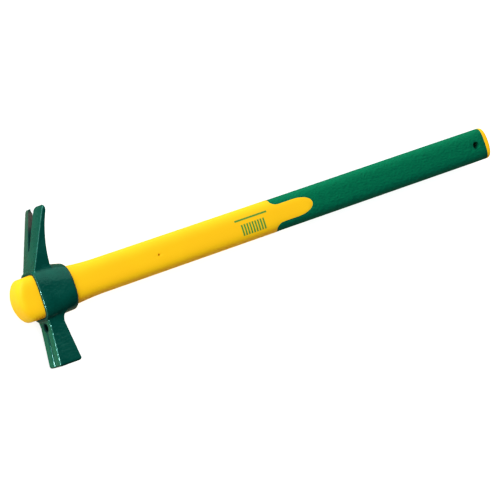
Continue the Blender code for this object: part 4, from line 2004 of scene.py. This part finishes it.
@dataclass(frozen=True)
class Softbox:
    """A soft rectangular light aimed at the hammer."""

    name: str
    direction: tuple[float, float, float]
    distance: float
    width: float
    height: float
    power: float

    def build(self, target: Vector) -> Item:
        """Add the light.

        Args:
            target: what it is aimed at.

        Returns:
            The light.
        """
        lamp = bpy.data.lights.new(self.name, "AREA")
        lamp.shape = "RECTANGLE"
        lamp.size = self.width
        lamp.size_y = self.height
        lamp.energy = self.power
        item = bpy.data.objects.new(self.name, lamp)
        bpy.context.scene.collection.objects.link(item)
        away = Vector(self.direction).normalized()
        item.location = target + away * self.distance
        item.rotation_euler = away.to_track_quat("Z", "Y").to_euler()
        return item


@dataclass(frozen=True)
class Studio:
    """Pale floor, soft lights and the camera at the photograph's angle, with turns in degrees."""

    floor_size: float = 6.0
    floor_cells: int = 8
    focal_pixels: float = 2800.0
    frame_pixels: float = 500.0
    sensor: float = 36.0
    sight: float = 20.0
    camera_turn: tuple[float, float, float] = (9.5823, -28.8338, -21.4669)
    camera_place: tuple[float, float, float] = (-1.016286, 0.024624, 2.107077)
    room_light: Span = (0.03, 1.05)
    room_low: Colour = (0.34, 0.32, 0.22)
    wall_edge: Span = (0.03, 0.24)
    horizon: Span = (-0.05, 0.05)
    white: float = 1.15
    tones: tuple[Span, ...] = (
        (0.05, 0.041),
        (0.1, 0.085),
        (0.15, 0.145),
        (0.25, 0.27),
        (0.4, 0.44),
        (0.6, 0.59),
        (0.8, 0.755),
        (0.9, 0.825),
        (1.0, 0.91),
    )
    hammer_lights: tuple[Softbox, ...] = (
        Softbox("key", (-0.45, 0.65, 0.61), 3.0, 2.6, 1.8, 115.0),
        Softbox("side", (-0.864, -0.02, 0.5), 2.2, 0.5, 0.5, 8.5),
    )
    glint_light: Softbox = Softbox("glint", (-0.864, -0.02, 0.5), 1.4, 0.2, 0.6, 50.0)
    floor_light: Softbox = Softbox("floor_wash", (0.0, 0.0, 1.0), 2.4, 5.0, 5.0, 175.0)

    def room(self) -> bpy.types.World:
        """Make the room: a bright wall past the claw, a warm table below, and dark elsewhere.

        Returns:
            The world.
        """
        world = bpy.data.worlds.new("studio_room")
        world.use_nodes = True
        graph = Graph(world.node_tree, Coordinates.DIRECTION)
        _, claw_side, up = graph.split()
        wall = graph.between(graph.ramp(claw_side, *self.wall_edge), *self.room_light)
        light = graph.mix(graph.ramp(up, *self.horizon), self.room_low, wall)
        graph.link(light, graph.tree.nodes["Background"].inputs["Color"])
        return world

    def develop(self, view: bpy.types.ColorManagedViewSettings) -> None:
        """Give the picture a photograph's tones: deep shadows and a soft shoulder.

        Args:
            view: the scene's view settings.
        """
        view.view_transform = "Standard"
        view.use_curve_mapping = True
        curves = view.curve_mapping
        curves.white_level = (self.white, self.white, self.white)
        for light, shown in self.tones:
            curves.curves[ALL_CHANNELS].points.new(light / self.white, shown)
        curves.update()

    def limit(self, lamp: Item, lit: Iterable[Item]) -> None:
        """Let a lamp light only some of the objects.

        Args:
            lamp: the lamp.
            lit: what it lights.
        """
        group = bpy.data.collections.new(f"lit_by_{lamp.name}")
        for item in lit:
            group.objects.link(item)
        lamp.light_linking.receiver_collection = group

    def lay_floor(self, paper: Material) -> Item:
        """Lay the floor, which glossy pieces don't mirror.

        Args:
            paper: its finish.

        Returns:
            The floor.
        """
        bm = bmesh.new()
        cells = self.floor_cells
        bmesh.ops.create_grid(bm, x_segments=cells, y_segments=cells, size=self.floor_size / 2)
        ground = to_object(bm, "studio_floor")
        ground.data.materials.append(paper)
        ground.visible_glossy = False
        ground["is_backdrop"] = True
        return ground

    def light(self, ground: Item, glossy: Iterable[Item]) -> None:
        """Light the hammer, give glints to the glossy pieces, and wash the floor evenly.

        Args:
            ground: the floor.
            glossy: the pieces that the glints are for.
        """
        low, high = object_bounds()
        target = (Vector(low) + Vector(high)) / 2
        meshes = [item for item in bpy.context.scene.objects if item.type == "MESH"]
        hammer = [item for item in meshes if item != ground]
        for softbox in self.hammer_lights:
            self.limit(softbox.build(target), hammer)
        glint = self.glint_light.build(target)
        glint.visible_diffuse = False
        self.limit(glint, glossy)
        wash = self.floor_light.build(target)
        self.limit(wash, [ground])
        wash.light_linking.blocker_collection = wash.light_linking.receiver_collection

    def aim(self, place: Matrix) -> Item:
        """Add the camera.

        Args:
            place: the hammer's working frame in the scene.

        Returns:
            The camera.
        """
        lens = bpy.data.cameras.new("studio_camera")
        lens.sensor_width = self.sensor
        lens.lens = self.focal_pixels / self.frame_pixels * self.sensor
        lens.clip_end = self.sight
        camera = bpy.data.objects.new("studio_camera", lens)
        bpy.context.scene.collection.objects.link(camera)
        turn = Euler([math.radians(angle) for angle in self.camera_turn])
        camera.matrix_world = Matrix.LocRotScale(place @ Vector(self.camera_place), turn, None)
        return camera

    def build(self, place: Matrix, paper: Material, glossy: Iterable[Item]) -> None:
        """Set up the studio.

        Args:
            place: the hammer's working frame in the scene.
            paper: the floor's finish.
            glossy: the pieces that the glint light is for.
        """
        scene = bpy.context.scene
        self.develop(scene.view_settings)
        self.light(self.lay_floor(paper), glossy)
        scene.world = self.room()
        scene.camera = self.aim(place)


def main() -> None:
    """Build and dress the hammer, then the studio round it."""
    logging.basicConfig(level=logging.INFO, format="%(name)s: %(message)s")
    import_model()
    cad_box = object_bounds()
    place = hammer_place()
    handle = Jacket(place)
    handle.make(MouldedFinish().build(place), RubberFinish().build())
    head = ForgedHead(place)
    head.make(EnamelFinish().build())
    head.make_magnet(MagnetFinish().build())
    core = Core(place)
    core.dress(FibreFinish().build())
    for assembly in (handle, head, core):
        assembly.report()
    Studio().build(place, FloorFinish().build(), head.made)
    [[list(corner) for corner in box] for box in (cad_box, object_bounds())]


if __name__ == "__main__":
    main()
